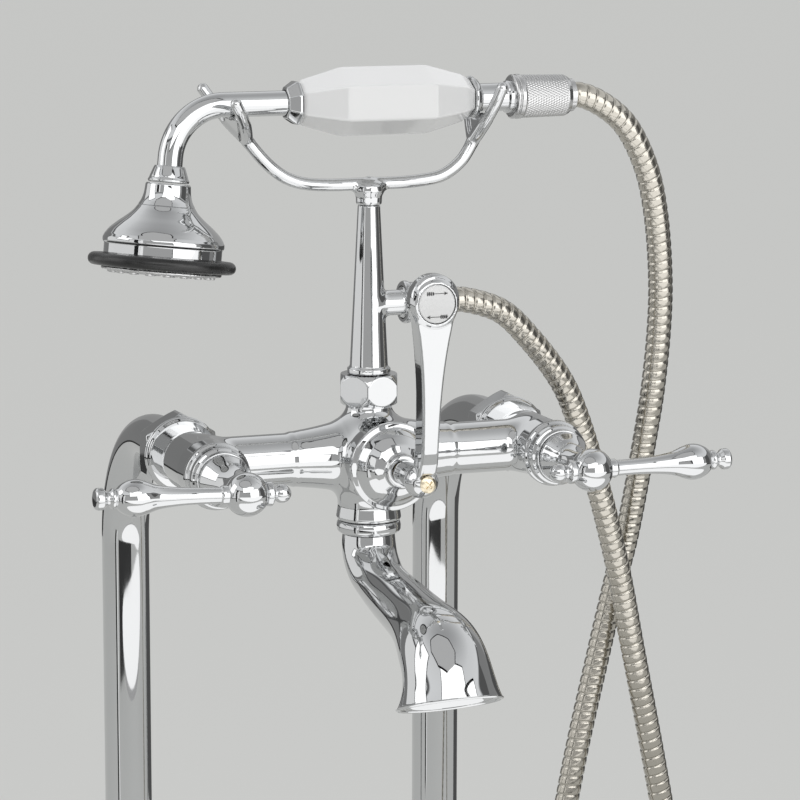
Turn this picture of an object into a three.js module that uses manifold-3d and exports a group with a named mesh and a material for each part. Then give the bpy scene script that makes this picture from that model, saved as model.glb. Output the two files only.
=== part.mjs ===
// A tub filler on two floor risers, with a diverter and a hand shower in a cradle.
// Millimetres, +Z up, the front (the user's side) towards -Y, +X to the user's right.
// The origin is on the floor, midway between the two supply risers.
import * as THREE from "three";
import { mergeVertices } from "three/addons/utils/BufferGeometryUtils.js";
import Module from "manifold-3d";

const wasm = await Module();
wasm.setup();

// ---- Driving dimensions ----
const GAP = 0.3; // between pieces that touch
const ROUND = 14; // sides of a round piece, of a large one and of a small one
const LARGE = 18;
const SMALL = 10;
const VALVE_X = 89.3; // half of the distance between the two valves
const BODY_HEIGHT = 700; // crossbar's axis above the floor
const RISER_BACK = 138; // risers' axes behind the crossbar's axis

const RISER_R = 12.7;
const RISER_BORE = 10.4;
const RISER_BEND = 66;
const UNION_FRONT = 27; // the union nut's front and back faces, behind the crossbar's axis
const UNION_BACK = 44;
const UNION_CORNER = 21; // the hexagon's corner radius
const SHANK_R = 14; // the valve barrels, which end in the unions' threads
const SHANK_END = 36;

const CROSSBAR_R = 13.3;
const WATERWAY_R = 7.5;
const BONNET_FRONT = 40; // the valve bonnets' front face, ahead of the crossbar's axis
const STEM_R = 4;
const HANDLE_FORWARD = 76.7; // centre of the handle's ball, ahead of the crossbar's axis
const BALL_R = 10.7;
const HANDLE_TILT = { left: 2.2, right: 0.7 }; // degrees up from level, when closed
const SIDES = { left: -1, right: 1 };

const BODY_FOOT = -33; // underside of the valve body
const NECK_TOP = 30; // top of the valve body's threaded neck
const COLUMN_NUT = [26.3, 41.5];
const COLUMN_TOP = 126.5;
const OUTLET_HEIGHT = 76.7; // axis of the hose outlet
const OUTLET_NUT = [17.8, 44.9];
const CRADLE_HEIGHT = 137.3; // axis of the cradle's bar
const CRADLE_ROD_R = 3.15;
const PRONG_R = 2.6;

const HANDSET_HEIGHT = 178.6;
const NECK_R = 6.2;
const NECK_BORE = 4.6;
const NECK_BEND = 28;
const NECK_BEND_X = -75.6; // where the neck starts to bend down
const HEAD_TILT = THREE.MathUtils.degToRad(6.7);
const HANDSET_ROLL = THREE.MathUtils.degToRad(-4.5); // neck and head hang a little to the front
const GRIP_ENDS = [-37, 53.6];
const GRIP_R = 17.3;
const REAR_TUBE_R = 7.1;
const HANDSET_NUT = [75.7, 109.3];
const RUBBER_R = 36.2;

const DIVERTER_FORWARD = 75; // centre of the diverter lever's ball
const DIVERTER_DISC = 91.3; // centre of the lever's disc above its axis
const DISC_R = 12.4;
const BUTTON = { height: 89.6, radius: 9.3, front: 95.6 };

const HOSE_R = 6.5;
// The hose's centre line, from the outlet on the column down in a loop and up to the handset.
const HOSE_ROUTE = [
  [45.2, 0, 76.7], [50, 0, 76.6], [71.6, 1, 69.6], [89, 3, 53.9], [108.7, 7, 29.8], [120, 11, 7.9],
  [137, 18, -37], [144.4, 21, -60], [151.2, 24, -83], [160, 27, -120], [176, 30, -190],
  [192, 32, -270], [204, 34, -350], [209, 35, -420], [210, 35.5, -492], [193.6, 36, -532],
  [154, 36.5, -548.5], [114.4, 37, -532], [98, 38, -492], [100, 39.5, -420], [107, 41, -350],
  [119, 43, -270], [134, 45, -190], [148, 46, -130], [157.8, 44, -85], [161.5, 41, -65],
  [164.5, 38, -43], [168, 31, -4], [169.5, 27, 18], [169.8, 21, 51], [168, 16, 78.5],
  [161.3, 9, 116.3], [153.5, 5, 140.5], [140.5, 2, 162.2], [127, 0.4, 173], [114.5, 0, 178.4],
  [109.7, 0, 178.6],
];

// ---- Materials ----
const look = (color, roughness, metalness) =>
  new THREE.MeshStandardMaterial({ color, roughness, metalness });
const CHROME = look(0xdfe3e6, 0.08, 1);
const SATIN = look(0xc2beb4, 0.3, 1);
const BRASS = look(0xc9a14a, 0.25, 1);
const PORCELAIN = look(0xf6f6f4, 0.12, 0);
const RUBBER = look(0x17181a, 0.5, 0);
const CARTRIDGE = look(0xb98f4e, 0.4, 1);

// ---- Directions and geometry helpers ----
const RIGHT = new THREE.Vector3(1, 0, 0);
const BACK = new THREE.Vector3(0, 1, 0);
const FRONT = new THREE.Vector3(0, -1, 0);
const UP = new THREE.Vector3(0, 0, 1);

// A profile of [radius, height] points turned about an axis through the origin.
function turned(profile, axis = UP, sides = ROUND, turn = 0) {
  const points = profile.map(([r, h]) => new THREE.Vector2(r, h));
  const toAxis = new THREE.Quaternion().setFromUnitVectors(BACK, axis);
  return new THREE.LatheGeometry(points, sides).rotateY(turn).applyQuaternion(toAxis);
}

const rod = (radius, from, to, axis = UP, sides = ROUND) =>
  turned([[0, from], [radius, from], [radius, to], [0, to]], axis, sides);

const ring = (inner, outer, from, to, axis = UP, sides = ROUND) =>
  turned([[inner, from], [outer, from], [outer, to], [inner, to], [inner, from]], axis, sides);

const ball = (radius, centre = [0, 0, 0], sides = ROUND) =>
  new THREE.SphereGeometry(radius, sides, sides / 2).translate(...centre);

// Points of [radius, height] on an arc, its angles in degrees from the radial direction.
function arc(r, h, radius, from, to, steps) {
  return Array.from({ length: steps + 1 }, (_, i) => {
    const a = THREE.MathUtils.degToRad(from + ((to - from) * i) / steps);
    return [r + radius * Math.cos(a), h + radius * Math.sin(a)];
  });
}

// A path through given points, sampled at those points only.
class Stations extends THREE.Curve {
  constructor(points) {
    super();
    this.points = points.map((p) => new THREE.Vector3(...p));
  }
  at(u) {
    return Math.round(u * (this.points.length - 1));
  }
  getPointAt(u) {
    return this.points[this.at(u)].clone();
  }
  getTangentAt(u) {
    const i = this.at(u);
    const last = this.points.length - 1;
    const next = this.points[Math.min(i + 1, last)];
    return next.clone().sub(this.points[Math.max(i - 1, 0)]).normalize();
  }
}

function tube(path, steps, radius, bore = 0, sides = 12) {
  const circle = (r) =>
    Array.from({ length: sides }, (_, i) => {
      const a = (2 * Math.PI * i) / sides;
      return new THREE.Vector2(r * Math.cos(a), r * Math.sin(a));
    });
  const section = new THREE.Shape(circle(radius));
  if (bore) section.holes.push(new THREE.Path(circle(bore)));
  return new THREE.ExtrudeGeometry(section, { extrudePath: path, steps });
}

function bar(points, radius, steps, sides = 8) {
  const path = new THREE.CatmullRomCurve3(points.map((p) => new THREE.Vector3(...p)));
  return tube(path, steps, radius, 0, sides);
}

// A closed skin over rings of points, each ring in the same order.
function skin(rings) {
  const count = rings[0].length;
  const positions = rings.flat().flatMap((p) => p.toArray());
  const faces = [];
  rings.forEach((_, k) => {
    const next = (k + 1) % rings.length;
    for (let i = 0; i < count; i++) {
      const j = (i + 1) % count;
      const [a, b] = [k * count + i, k * count + j];
      const [c, d] = [next * count + j, next * count + i];
      faces.push(a, b, c, a, c, d);
    }
  });
  const geometry = new THREE.BufferGeometry();
  geometry.setAttribute("position", new THREE.Float32BufferAttribute(positions, 3));
  return geometry.setIndex(faces);
}

// ---- Solid operations ----
function solid(geometry) {
  const bare = geometry.clone().deleteAttribute("normal").deleteAttribute("uv");
  const merged = mergeVertices(bare, 1e-4);
  return new wasm.Manifold(
    new wasm.Mesh({
      numProp: 3,
      vertProperties: merged.attributes.position.array,
      triVerts: new Uint32Array(merged.index.array),
    }),
  );
}

function geometryOf(made) {
  const mesh = made.getMesh();
  const geometry = new THREE.BufferGeometry();
  geometry.setAttribute("position", new THREE.BufferAttribute(mesh.vertProperties, 3));
  geometry.setIndex(new THREE.BufferAttribute(mesh.triVerts, 1));
  return geometry;
}

const join = (...pieces) => geometryOf(pieces.map(solid).reduce((a, b) => a.add(b)));
const cut = (piece, ...tools) =>
  geometryOf(tools.map(solid).reduce((a, b) => a.subtract(b), solid(piece)));
const common = (a, b) => geometryOf(solid(a).intersect(solid(b)));

function piece(name, geometry, material, position = [0, 0, 0]) {
  const mesh = new THREE.Mesh(geometry, material);
  mesh.name = name;
  mesh.position.set(...position);
  return mesh;
}

// ---- Supply: risers, floor flanges and unions ----
function riserPath() {
  const centre = [0, RISER_BACK - RISER_BEND, -RISER_BEND];
  const bend = arc(centre[1], centre[2], RISER_BEND, 0, 90, 7).map(([y, z]) => [0, y, z]);
  return new Stations([[0, RISER_BACK, -BODY_HEIGHT], ...bend, [0, SHANK_END + 3.3, 0]]);
}

function supplyRiser() {
  const path = riserPath();
  const pipe = tube(path, path.points.length - 1, RISER_R, RISER_BORE);
  const lip = ring(RISER_BORE + 1, SHANK_R - GAP, SHANK_END + 3.3, SHANK_END + 5, BACK);
  return join(pipe, lip);
}

function floorFlange() {
  const bore = RISER_R + GAP + 0.1;
  return turned([
    [bore, 0], [32, 0], [32, 2.5], [29, 4.8], [20, 7.4], [16.4, 11], [15.2, 19], [bore, 19],
    [bore, 0],
  ], UP, LARGE);
}

function unionNut() {
  const hexagon = turned([
    [0, 30.5], [UNION_CORNER, 30.5], [UNION_CORNER, UNION_BACK], [0, UNION_BACK],
  ], BACK, 6);
  const chamfer = turned([
    [0, 30.5], [19.2, 30.5], [21.2, 32.5], [21.2, 42], [19, UNION_BACK], [0, UNION_BACK],
  ], BACK);
  const shoulder = turned([
    [0, UNION_FRONT], [17.3, UNION_FRONT], [19.2, 29], [19.2, 31], [0, 31],
  ], BACK);
  const bore = turned([
    [0, 26], [SHANK_R + GAP + 0.1, 26], [SHANK_R + GAP + 0.1, SHANK_END + 5.3],
    [RISER_R + GAP + 0.1, SHANK_END + 5.3], [RISER_R + GAP + 0.1, 45], [0, 45],
  ], BACK);
  return cut(join(common(hexagon, chamfer), shoulder), bore);
}

function supply() {
  const group = new THREE.Group();
  for (const [side, sign] of Object.entries(SIDES)) {
    const x = sign * VALVE_X;
    const washer = ring(9, SHANK_R - GAP, SHANK_END + GAP, SHANK_END + 3, BACK);
    group.add(
      piece(`supply_riser_${side}`, supplyRiser(), CHROME, [x, 0, 0]),
      piece(`floor_flange_${side}`, floorFlange(), CHROME, [x, RISER_BACK, -BODY_HEIGHT]),
      piece(`union_nut_${side}`, unionNut(), CHROME, [x, 0, 0]),
      piece(`union_washer_${side}`, washer, RUBBER, [x, 0, 0]),
    );
  }
  return group;
}

// ---- Valve body: one hollow casting ----
function valveBody() {
  const crossbar = rod(CROSSBAR_R, -VALVE_X, VALVE_X, RIGHT);
  const middle = turned([
    [0, BODY_FOOT], [16.3, BODY_FOOT], [16.3, -30], [15.4, -27], [17.3, -8], [17.3, 8],
    [12.6, 21], [11.6, 24], [11.6, NECK_TOP], [0, NECK_TOP],
  ]);
  const boss = rod(19.3, 0, 33, FRONT);
  const flares = turned([
    [0, -36], [13.3, -36], [18, -16], [18, 16], [13.3, 36], [0, 36],
  ], RIGHT);
  const barrels = [-VALVE_X, VALVE_X].map((x) =>
    turned([
      [0, -27], [SHANK_R, -27], [15.2, -12], [15.2, 12], [SHANK_R, 18], [SHANK_R, SHANK_END],
      [0, SHANK_END],
    ], BACK).translate(x, 0, 0));
  const seats = [-VALVE_X, VALVE_X].map((x) =>
    turned([
      [0, -28], [10.4, -28], [10.4, 3], [8.6, 3], [8.6, 37], [0, 37],
    ], BACK).translate(x, 0, 0));
  const waterway = rod(WATERWAY_R, -VALVE_X, VALVE_X, RIGHT);
  const column = turned([
    [0, BODY_FOOT - 1], [11.6, BODY_FOOT - 1], [11.6, -19], [8, -19], [8, NECK_TOP + 1],
    [0, NECK_TOP + 1],
  ]);
  const diverterSeat = turned([[0, 0], [13.4, 6], [13.4, 34], [0, 34]], FRONT);
  return cut(join(crossbar, middle, boss, flares, ...barrels), waterway, column, diverterSeat, ...seats);
}

// ---- Valves and lever handles ----
function valveBonnet() {
  return turned([
    [8.8, 18], [10, 18], [10, 27.3], [16.8, 27.3], [16.8, 30.6], [15.3, 31.6], [15.3, 36.6],
    [13.5, 37.6], [13.5, BONNET_FRONT], [4.6, BONNET_FRONT], [4.6, 31], [8.8, 31], [8.8, 18],
  ], FRONT);
}

const SOCKET_END = 62; // depth of the handle's socket for the stem

function handleHub() {
  const screwHeight = 58;
  const shell = turned([
    [0, SOCKET_END], [STEM_R + GAP, SOCKET_END], [STEM_R + GAP, 41], [13, 41], [12.9, 43.6],
    [10.8, 47.4], [8, 52.6], [6.5, 60], [6.5, 67.4],
    ...arc(0, HANDLE_FORWARD, BALL_R, -50, 70, 5), [0, HANDLE_FORWARD + BALL_R],
  ], FRONT);
  const socket = rod(2.8, 5.5, 12, RIGHT, SMALL).translate(0, -HANDLE_FORWARD, 0);
  const other = rod(2.8, -12, -5.5, RIGHT, SMALL).translate(0, -HANDLE_FORWARD, 0);
  const screwHole = rod(2.1, -8, 0, UP, SMALL).translate(0, -screwHeight, 0);
  return cut(shell, socket, other, screwHole);
}

// The lever's profile, by distance from the centre of the ball.
function handleLever(axis) {
  const grip = turned([
    [0, 9.5], [4.6, 9.5], [4.6, 12.4], [3.9, 13], [4, 25], [4.6, 35], [5.9, 44], [8, 50],
    [8.9, 54], [8.4, 58.5], [6.6, 62], [4.3, 64.5], [4.9, 66.5], [3.3, 69], [5.2, 71.6],
    [5.2, 73.8], [4.4, 74.8], [0, 74.8],
  ], axis, 12);
  return join(cut(grip, ball(BALL_R + 0.7, [0, 0, 0], 12)), rod(2.5, 6, 13, axis, SMALL));
}

function handleFinial(axis) {
  const knob = turned([
    [0, 9.5], [5.9, 9.5], [6, 12.4], [3.6, 13.2], [3.6, 14.2],
    ...arc(0, 17.5, 4.6, -42, 65, 4), [0, 22.1],
  ], axis, SMALL);
  return join(cut(knob, ball(BALL_R + 0.7, [0, 0, 0], 12)), rod(2.5, 6, 13, axis, SMALL));
}

function valve(side, sign) {
  const group = new THREE.Group();
  group.position.x = sign * VALVE_X;
  const cartridge = ring(STEM_R + 0.5, 8.4, 8, 30.7, FRONT);
  const stem = rod(STEM_R, 10, SOCKET_END - 0.5, FRONT, SMALL);
  const grub = rod(1.7, -6.2, -STEM_R - GAP, UP, SMALL).translate(0, -58, 0);
  const tilt = THREE.MathUtils.degToRad(HANDLE_TILT[side]);
  const outward = new THREE.Vector3(sign * Math.cos(tilt), 0, Math.sin(tilt));
  const hub = handleHub().translate(0, HANDLE_FORWARD, 0).rotateY(-sign * tilt);
  const centre = [0, -HANDLE_FORWARD, 0];
  group.add(
    piece(`valve_bonnet_${side}`, valveBonnet(), CHROME),
    piece(`valve_cartridge_${side}`, cartridge, CARTRIDGE),
    piece(`valve_stem_${side}`, stem, BRASS),
    piece(`handle_hub_${side}`, hub, CHROME, centre),
    piece(`handle_lever_${side}`, handleLever(outward), CHROME, centre),
    piece(`handle_finial_${side}`, handleFinial(outward.clone().negate()), CHROME, centre),
    piece(`handle_set_screw_${side}`, grub, SATIN),
  );
  return group;
}

// ---- Diverter: bonnet, cartridge, stem, lever, screw and button ----
function diverterLever() {
  const front = 94; // the disc's front face
  const face = new THREE.Shape();
  face.moveTo(-4.4, 3);
  face.lineTo(4.4, 3);
  face.bezierCurveTo(4.1, 34, 4.6, 60, 10.6, DIVERTER_DISC - 5.6);
  face.absarc(0, DIVERTER_DISC, DISC_R, -0.486, Math.PI + 0.486, false);
  face.bezierCurveTo(-4.6, 60, -4.1, 34, -4.4, 3);
  // Seen from the side the arm is thick at the hub and thin at the disc.
  const side = new THREE.Shape();
  side.moveTo(83, 3);
  side.quadraticCurveTo(88, 8, 88.6, 16);
  side.lineTo(front, 76);
  side.lineTo(front, 104);
  side.lineTo(front - 7.4, 104);
  side.lineTo(front - 7.4, 88);
  side.quadraticCurveTo(81.5, 44, 74, 3);
  const options = { depth: 60, bevelEnabled: false, curveSegments: 6 };
  const faceBlock = new THREE.ExtrudeGeometry(face, options).rotateX(Math.PI / 2).translate(0, -50, 0);
  const sideBlock = new THREE.ExtrudeGeometry(side, options);
  // The side outline's x runs forwards and its y up.
  const basis = new THREE.Matrix4().makeBasis(FRONT, UP, RIGHT.clone().negate());
  sideBlock.applyMatrix4(basis).translate(30, 0, 0);
  const hub = turned([
    [0, 61], [STEM_R + GAP, 61], [STEM_R + GAP, 52], [6.2, 52], [6.2, 66],
    ...arc(0, DIVERTER_FORWARD, 8.3, -42, 60, 5), [0, DIVERTER_FORWARD + 8.3],
  ], FRONT);
  const rim = rod(11.3, front - 3, BUTTON.front + 0.3, FRONT, LARGE).translate(0, 0, BUTTON.height);
  const seat = rod(BUTTON.radius + GAP, front - 2, 98, FRONT, LARGE).translate(0, 0, BUTTON.height);
  const screwHole = rod(2.4, 68, 100, FRONT, SMALL);
  const screwRoom = rod(4.8, 83.4, 100, FRONT, SMALL);
  return cut(join(common(faceBlock, sideBlock), hub, rim), seat, screwHole, screwRoom);
}

function diverter() {
  const group = new THREE.Group();
  const bonnet = turned([
    [9.6, 24], [13, 24], [13, 33.3], [21.6, 33.3], [22.4, 34.3], [22.4, 36.2], [19.4, 37.4],
    [16.4, 42.4], [12.6, 45.8], [8.4, 47.6], [8.2, 50.6], [4.6, 50.6], [4.6, 40], [9.6, 40],
    [9.6, 24],
  ], FRONT, LARGE);
  const cartridge = ring(STEM_R + 0.5, 9.3, 10, 39.7, FRONT);
  const stem = rod(STEM_R, 12, 60.5, FRONT, SMALL);
  const button = rod(BUTTON.radius, 92.3, BUTTON.front, FRONT, LARGE).translate(0, 0, BUTTON.height);
  const screw = join(
    rod(2, 68.5, 84, FRONT, SMALL),
    turned([[0, 83.7], [4.3, 83.7], [4.1, 84.6], [2.6, 85.6], [0, 86]], FRONT, 12),
  );
  group.add(
    piece("diverter_bonnet", bonnet, CHROME),
    piece("diverter_cartridge", cartridge, CARTRIDGE),
    piece("diverter_stem", stem, BRASS),
    piece("diverter_lever", diverterLever(), CHROME),
    piece("diverter_button", button, PORCELAIN),
    piece("diverter_screw", screw, BRASS),
  );
  return group;
}

// ---- Spout: a hollow swan neck that widens to a bell mouth ----
// The outline in the middle plane, ring by ring: [y, z] of the front side and of the back side.
const SPOUT_SIDES = [
  [[-13.2, -40.6], [13.2, -40.6]], [[-13.5, -43.3], [13.6, -44.9]], [[-13.9, -44.7], [12.2, -56.4]],
  [[-14.9, -45.8], [1.3, -68.6]], [[-19.5, -48.8], [-10.3, -73.2]], [[-26, -50.8], [-19.8, -76]],
  [[-38.2, -52.2], [-34.5, -79.2]], [[-56.5, -53.7], [-52.9, -82.3]], [[-74.8, -55.5], [-69.6, -85.5]],
  [[-90.1, -56.4], [-81.5, -90.4]], [[-99.8, -57.4], [-87.4, -93.8]], [[-110.9, -60.4], [-91.3, -96.8]],
  [[-122.8, -67.8], [-92.2, -97.9]], [[-132.2, -79.7], [-92.3, -99.9]], [[-137.1, -88.7], [-92.3, -104.2]],
  [[-139.3, -92.7], [-90.4, -111.6]],
];

function spoutRing(sides, shrink) {
  const [front, back] = sides.map(([y, z]) => new THREE.Vector3(0, y, z));
  const radius = front.distanceTo(back) / 2 - shrink;
  const across = front.clone().sub(back).normalize();
  return Array.from({ length: ROUND }, (_, i) => {
    const a = (2 * Math.PI * i) / ROUND;
    return front.clone().lerp(back, 0.5)
      .addScaledVector(RIGHT, radius * Math.cos(a))
      .addScaledVector(across, radius * Math.sin(a));
  });
}

function spout() {
  const wall = 2.2;
  const outer = SPOUT_SIDES.map((sides) => spoutRing(sides, 0));
  const inner = SPOUT_SIDES.map((sides) => spoutRing(sides, wall)).reverse();
  const shell = skin([...outer, ...inner]);
  const shank = ring(9, 11.2, -42, -22);
  const seat = ring(10.2, 13.2, -42, -40.3);
  const groove = ring(10.1, 12, -29, -26);
  return cut(join(shell, shank, seat), groove);
}

function spoutParts() {
  const group = new THREE.Group();
  const collar = turned([
    [11.6, -40], [16.2, -38.6], [16.2, -35.4], [15.4, BODY_FOOT - GAP], [11.6, BODY_FOOT - GAP],
    [11.6, -40],
  ]);
  group.add(
    piece("spout", spout(), CHROME),
    piece("spout_collar", collar, CHROME),
    piece("spout_o_ring", ring(10.3, 11.3, -28.6, -26.4), RUBBER),
  );
  return group;
}

// ---- Column: nut, tapered column with the hose outlet, and cradle ----
function columnNut() {
  const [low, high] = COLUMN_NUT;
  const middle = (low + high) / 2;
  const turn = THREE.MathUtils.degToRad(-20);
  const hexagon = turned([[0, low], [16.5, low], [16.5, high], [0, high]], UP, 6, turn);
  const rounded = common(hexagon, ball(16.5, [0, 0, middle]));
  const bore = turned([
    [0, low - 1], [12.5, low - 1], [12.5, 36.3], [10.1, 36.3], [10.1, high + 1], [0, high + 1],
  ]);
  return cut(rounded, bore);
}

function column() {
  const post = turned([
    [0, 32.6], [11.8, 32.6], [11.8, 36], [9.6, 36], [9.6, 41.8], [10.8, 42], [10.8, 44.4],
    [9.6, 45.6], [5.6, COLUMN_TOP], [3.5, COLUMN_TOP], [3.5, 132.5], [0, 132.5],
  ]);
  const branch = rod(6.4, 0, 17.5, RIGHT).translate(0, 0, OUTLET_HEIGHT);
  const nipple = rod(8, 17.5, 30, RIGHT).translate(0, 0, OUTLET_HEIGHT);
  const bore = rod(5, 32, 84, UP, SMALL);
  const outlet = rod(3.6, 0, 31, RIGHT, SMALL).translate(0, 0, OUTLET_HEIGHT);
  return cut(join(post, branch, nipple), bore, outlet);
}

// Half of a fork's prongs in its own plane: [sideways, up the fork].
const LEFT_FORK = {
  base: [-64, 161.3],
  tip: [-77.9, 183.5],
  prong: [[5, 2.6], [14.4, 9.7], [20.4, 18.2], [22.2, 22.8]],
  far: [[5, 2.6], [14.4, 9.7], [20.4, 18.2], [23.5, 26.2], [24, 27.6]],
};
const RIGHT_FORK = {
  base: [55.8, 157.3],
  tip: [62.5, 185],
  prong: [[4, 3.2], [11.5, 11], [18, 20], [22, 28.5]],
};

function fork({ base, tip, prong, far = prong }, arm) {
  const rise = new THREE.Vector2(tip[0] - base[0], tip[1] - base[1]).normalize();
  const at = ([side, up]) => [base[0] + rise.x * up, side, base[1] + rise.y * up];
  const prongs = [-1, 1].flatMap((sign) => {
    const points = (sign > 0 ? far : prong).map(([side, up]) => at([sign * side, up]));
    const end = points[points.length - 1];
    return [bar([[base[0], 0, base[1]], ...points], PRONG_R, 5, 6), ball(PRONG_R, end, 6)];
  });
  // The web under the handset: an outline in the fork's plane, as thick as the prongs.
  const web = new THREE.Shape();
  web.moveTo(0, -2);
  web.lineTo(prong[1][0], prong[1][1]);
  web.lineTo(9, 14.5);
  web.lineTo(-9, 14.5);
  web.lineTo(-prong[1][0], prong[1][1]);
  web.closePath();
  const thick = 3.6;
  const plate = new THREE.ExtrudeGeometry(web, { depth: thick, bevelEnabled: false });
  const normal = new THREE.Vector3(rise.y, 0, -rise.x);
  const upFork = new THREE.Vector3(rise.x, 0, rise.y);
  const basis = new THREE.Matrix4().makeBasis(BACK.clone().negate(), upFork, normal.clone().negate());
  plate.translate(0, 0, -thick / 2).applyMatrix4(basis).translate(base[0], 0, base[1]);
  return [bar([...arm, [base[0], 0, base[1]]], CRADLE_ROD_R, 7), ...prongs, plate];
}

function cradle() {
  const leftArm = [
    [0, 0, CRADLE_HEIGHT], [-22, 0, CRADLE_HEIGHT], [-35, 0, 138.6], [-43.3, 0, 141.5],
    [-49.3, 0, 145.4], [-55, 0, 150.6], [-59.7, 0, 155.9],
  ];
  const rightArm = [
    [0, 0, CRADLE_HEIGHT], [16.7, 0, CRADLE_HEIGHT], [28, 0, 138], [38, 0, 139.7], [44, 0, 142.7],
    [49.6, 0, 147.4], [53, 0, 152.2],
  ];
  const collar = turned([
    [0, COLUMN_TOP + GAP], [6.4, COLUMN_TOP + GAP], [6.6, 131], [8, 134], [7, 138], [0, 140],
  ]);
  const socket = rod(3.9, COLUMN_TOP, 133, UP, SMALL);
  const screwHole = rod(2.1, 0, 9, BACK, SMALL).translate(0, 0, 129.8);
  const cupRoom = rod(10.9, 50, 57.7, RIGHT).translate(0, 0, HANDSET_HEIGHT);
  const leftSeat = rod(NECK_R + GAP, -90, -60, RIGHT).translate(0, 0, HANDSET_HEIGHT);
  const rightSeat = rod(REAR_TUBE_R + 0.9, 40, 80, RIGHT).translate(0, 0, HANDSET_HEIGHT);
  return cut(
    join(collar, ...fork(LEFT_FORK, leftArm), ...fork(RIGHT_FORK, rightArm)),
    socket, screwHole, leftSeat, rightSeat, cupRoom,
  );
}

function outletNut() {
  const [from, to] = OUTLET_NUT;
  return turned([
    [8.4, from], [10.2, from], [10.8, from + 0.7], [10.8, from + 2.6], [10, from + 3.2],
    [9.8, 38], [8.8, 42], [7.4, to], [4, to], [4, 32.6], [8.4, 32.6], [8.4, from],
  ], RIGHT);
}

function columnParts() {
  const group = new THREE.Group();
  const atOutlet = [0, 0, OUTLET_HEIGHT];
  const grub = rod(1.7, 4.2, 6.2, BACK, SMALL);
  group.add(
    piece("column_nut", columnNut(), CHROME),
    piece("column_seal", ring(8.5, 11.6, NECK_TOP + GAP, 32.3), RUBBER),
    piece("column", column(), CHROME),
    piece("cradle", cradle(), CHROME),
    piece("cradle_screw", grub, SATIN, [0, 0, 129.8]),
    piece("hose_nut_outlet", outletNut(), CHROME, atOutlet),
    piece("hose_washer_outlet", ring(4, 8, 30.3, 32.3, RIGHT), RUBBER, atOutlet),
  );
  return group;
}

// ---- Hand shower ----
function neck() {
  const start = -41.1;
  const bend = arc(0, -NECK_BEND, NECK_BEND, 90, 180 - THREE.MathUtils.radToDeg(HEAD_TILT), 8);
  const points = bend.map(([x, z]) => [NECK_BEND_X + x, 0, z]);
  const end = points[points.length - 1];
  const reach = 8.2;
  points.push([end[0] - reach * Math.sin(HEAD_TILT), 0, end[2] - reach * Math.cos(HEAD_TILT)]);
  points.unshift([start, 0, 0]);
  const path = new Stations(points);
  return tube(path, points.length - 1, NECK_R, NECK_BORE);
}

function gripFerrule() {
  const bore = NECK_R + GAP + 0.1;
  const octagon = turned([
    [0, -44.1], [8.2, -44.1], [11.5, -39.2], [11.5, -38.2], [11, GRIP_ENDS[0] - GAP],
    [0, GRIP_ENDS[0] - GAP],
  ], RIGHT, 8, Math.PI / 8);
  return cut(octagon, rod(bore, -45, -40.3, RIGHT), rod(8, -40.3, -36, RIGHT));
}

function grip() {
  const [from, to] = GRIP_ENDS;
  const bore = 7; // the corners of a six-sided hole
  return turned([
    [bore, from], [10.9, from], [GRIP_R, -15], [GRIP_R, 30], [11.6, 50], [9.6, to], [bore, to],
    [bore, from],
  ], RIGHT, 6);
}

function rearTube() {
  return turned([
    [6.1, 57.6], [REAR_TUBE_R + 0.6, 57.6], [REAR_TUBE_R, 58.4], [REAR_TUBE_R, 72.4],
    [8.2, 73.3], [8.2, 84], [4, 84], [4, 66.5], [6.1, 66.5], [6.1, 57.6],
  ], RIGHT);
}

function handsetNut() {
  const [from, to] = HANDSET_NUT;
  return turned([
    [8.6, from], [10.4, from], [11.2, 76.9], [11.2, 80.8], [10.8, 81.6], [10.3, 104.2],
    [9.3, 106.4], [7.1, 107], [7.1, to], [4, to], [4, 86.8], [8.6, 86.8], [8.6, from],
  ], RIGHT);
}

// The head's pieces are drawn along +Z with the rubber ring's centre at zero.
function headShell() {
  return turned([
    [27, -3], [28.9, -3], [28.9, 8.4], [29.8, 9.6], [29.8, 11], [29, 12.6], [27, 15.3],
    [23, 18.9], [18.4, 22.6], [15.4, 25.4], [14, 27.6], [4.6, 27.6], [4.6, 25], [9.6, 24.6],
    [15, 21.4], [21, 17], [26.4, 11.6], [27, -3],
  ], UP, LARGE);
}

function headNut() {
  return turned([
    [NECK_R + 0.4, 38.9], [NECK_R + 0.4, 34], [4.6, 34], [4.6, 28], [13.8, 28], [12.4, 30.6],
    [11.5, 33.5], [11.1, 38.2], [10.4, 38.9], [NECK_R + 0.4, 38.9],
  ]);
}

function headCollar() {
  const bore = NECK_R + 0.4;
  return turned([
    [bore, 39.3], [9.8, 39.3], [10.3, 40.4], [9.6, 41.5], [9.3, 42.6], [7.8, 46.6], [7.3, 47.5],
    [bore, 47.5], [bore, 39.3],
  ]);
}

function facePlate() {
  const plate = turned([
    [0, -5.8], [14, -5.6], [24, -5.2], [28.8, -4.8], [29.4, -4.3], [29.4, -3.5], [26.6, -3.4],
    [26.6, 1.4], [20, 0.2], [12, -1.4], [0, -2],
  ], UP, LARGE);
  const holes = [[9, 6], [18, 12]].flatMap(([radius, count]) =>
    Array.from({ length: count }, (_, i) => {
      const a = (2 * Math.PI * i) / count;
      return rod(1, -8, 3, UP, 4).translate(radius * Math.cos(a), radius * Math.sin(a), 0);
    }));
  return cut(plate, ...holes);
}

function rubberRing() {
  const inner = 29.2;
  return turned([
    [inner, -2.9], ...arc(RUBBER_R - 3.1, 0, 3.1, -75, 75, 5), [inner, 2.9], [inner, -2.9],
  ], UP, LARGE);
}

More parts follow.
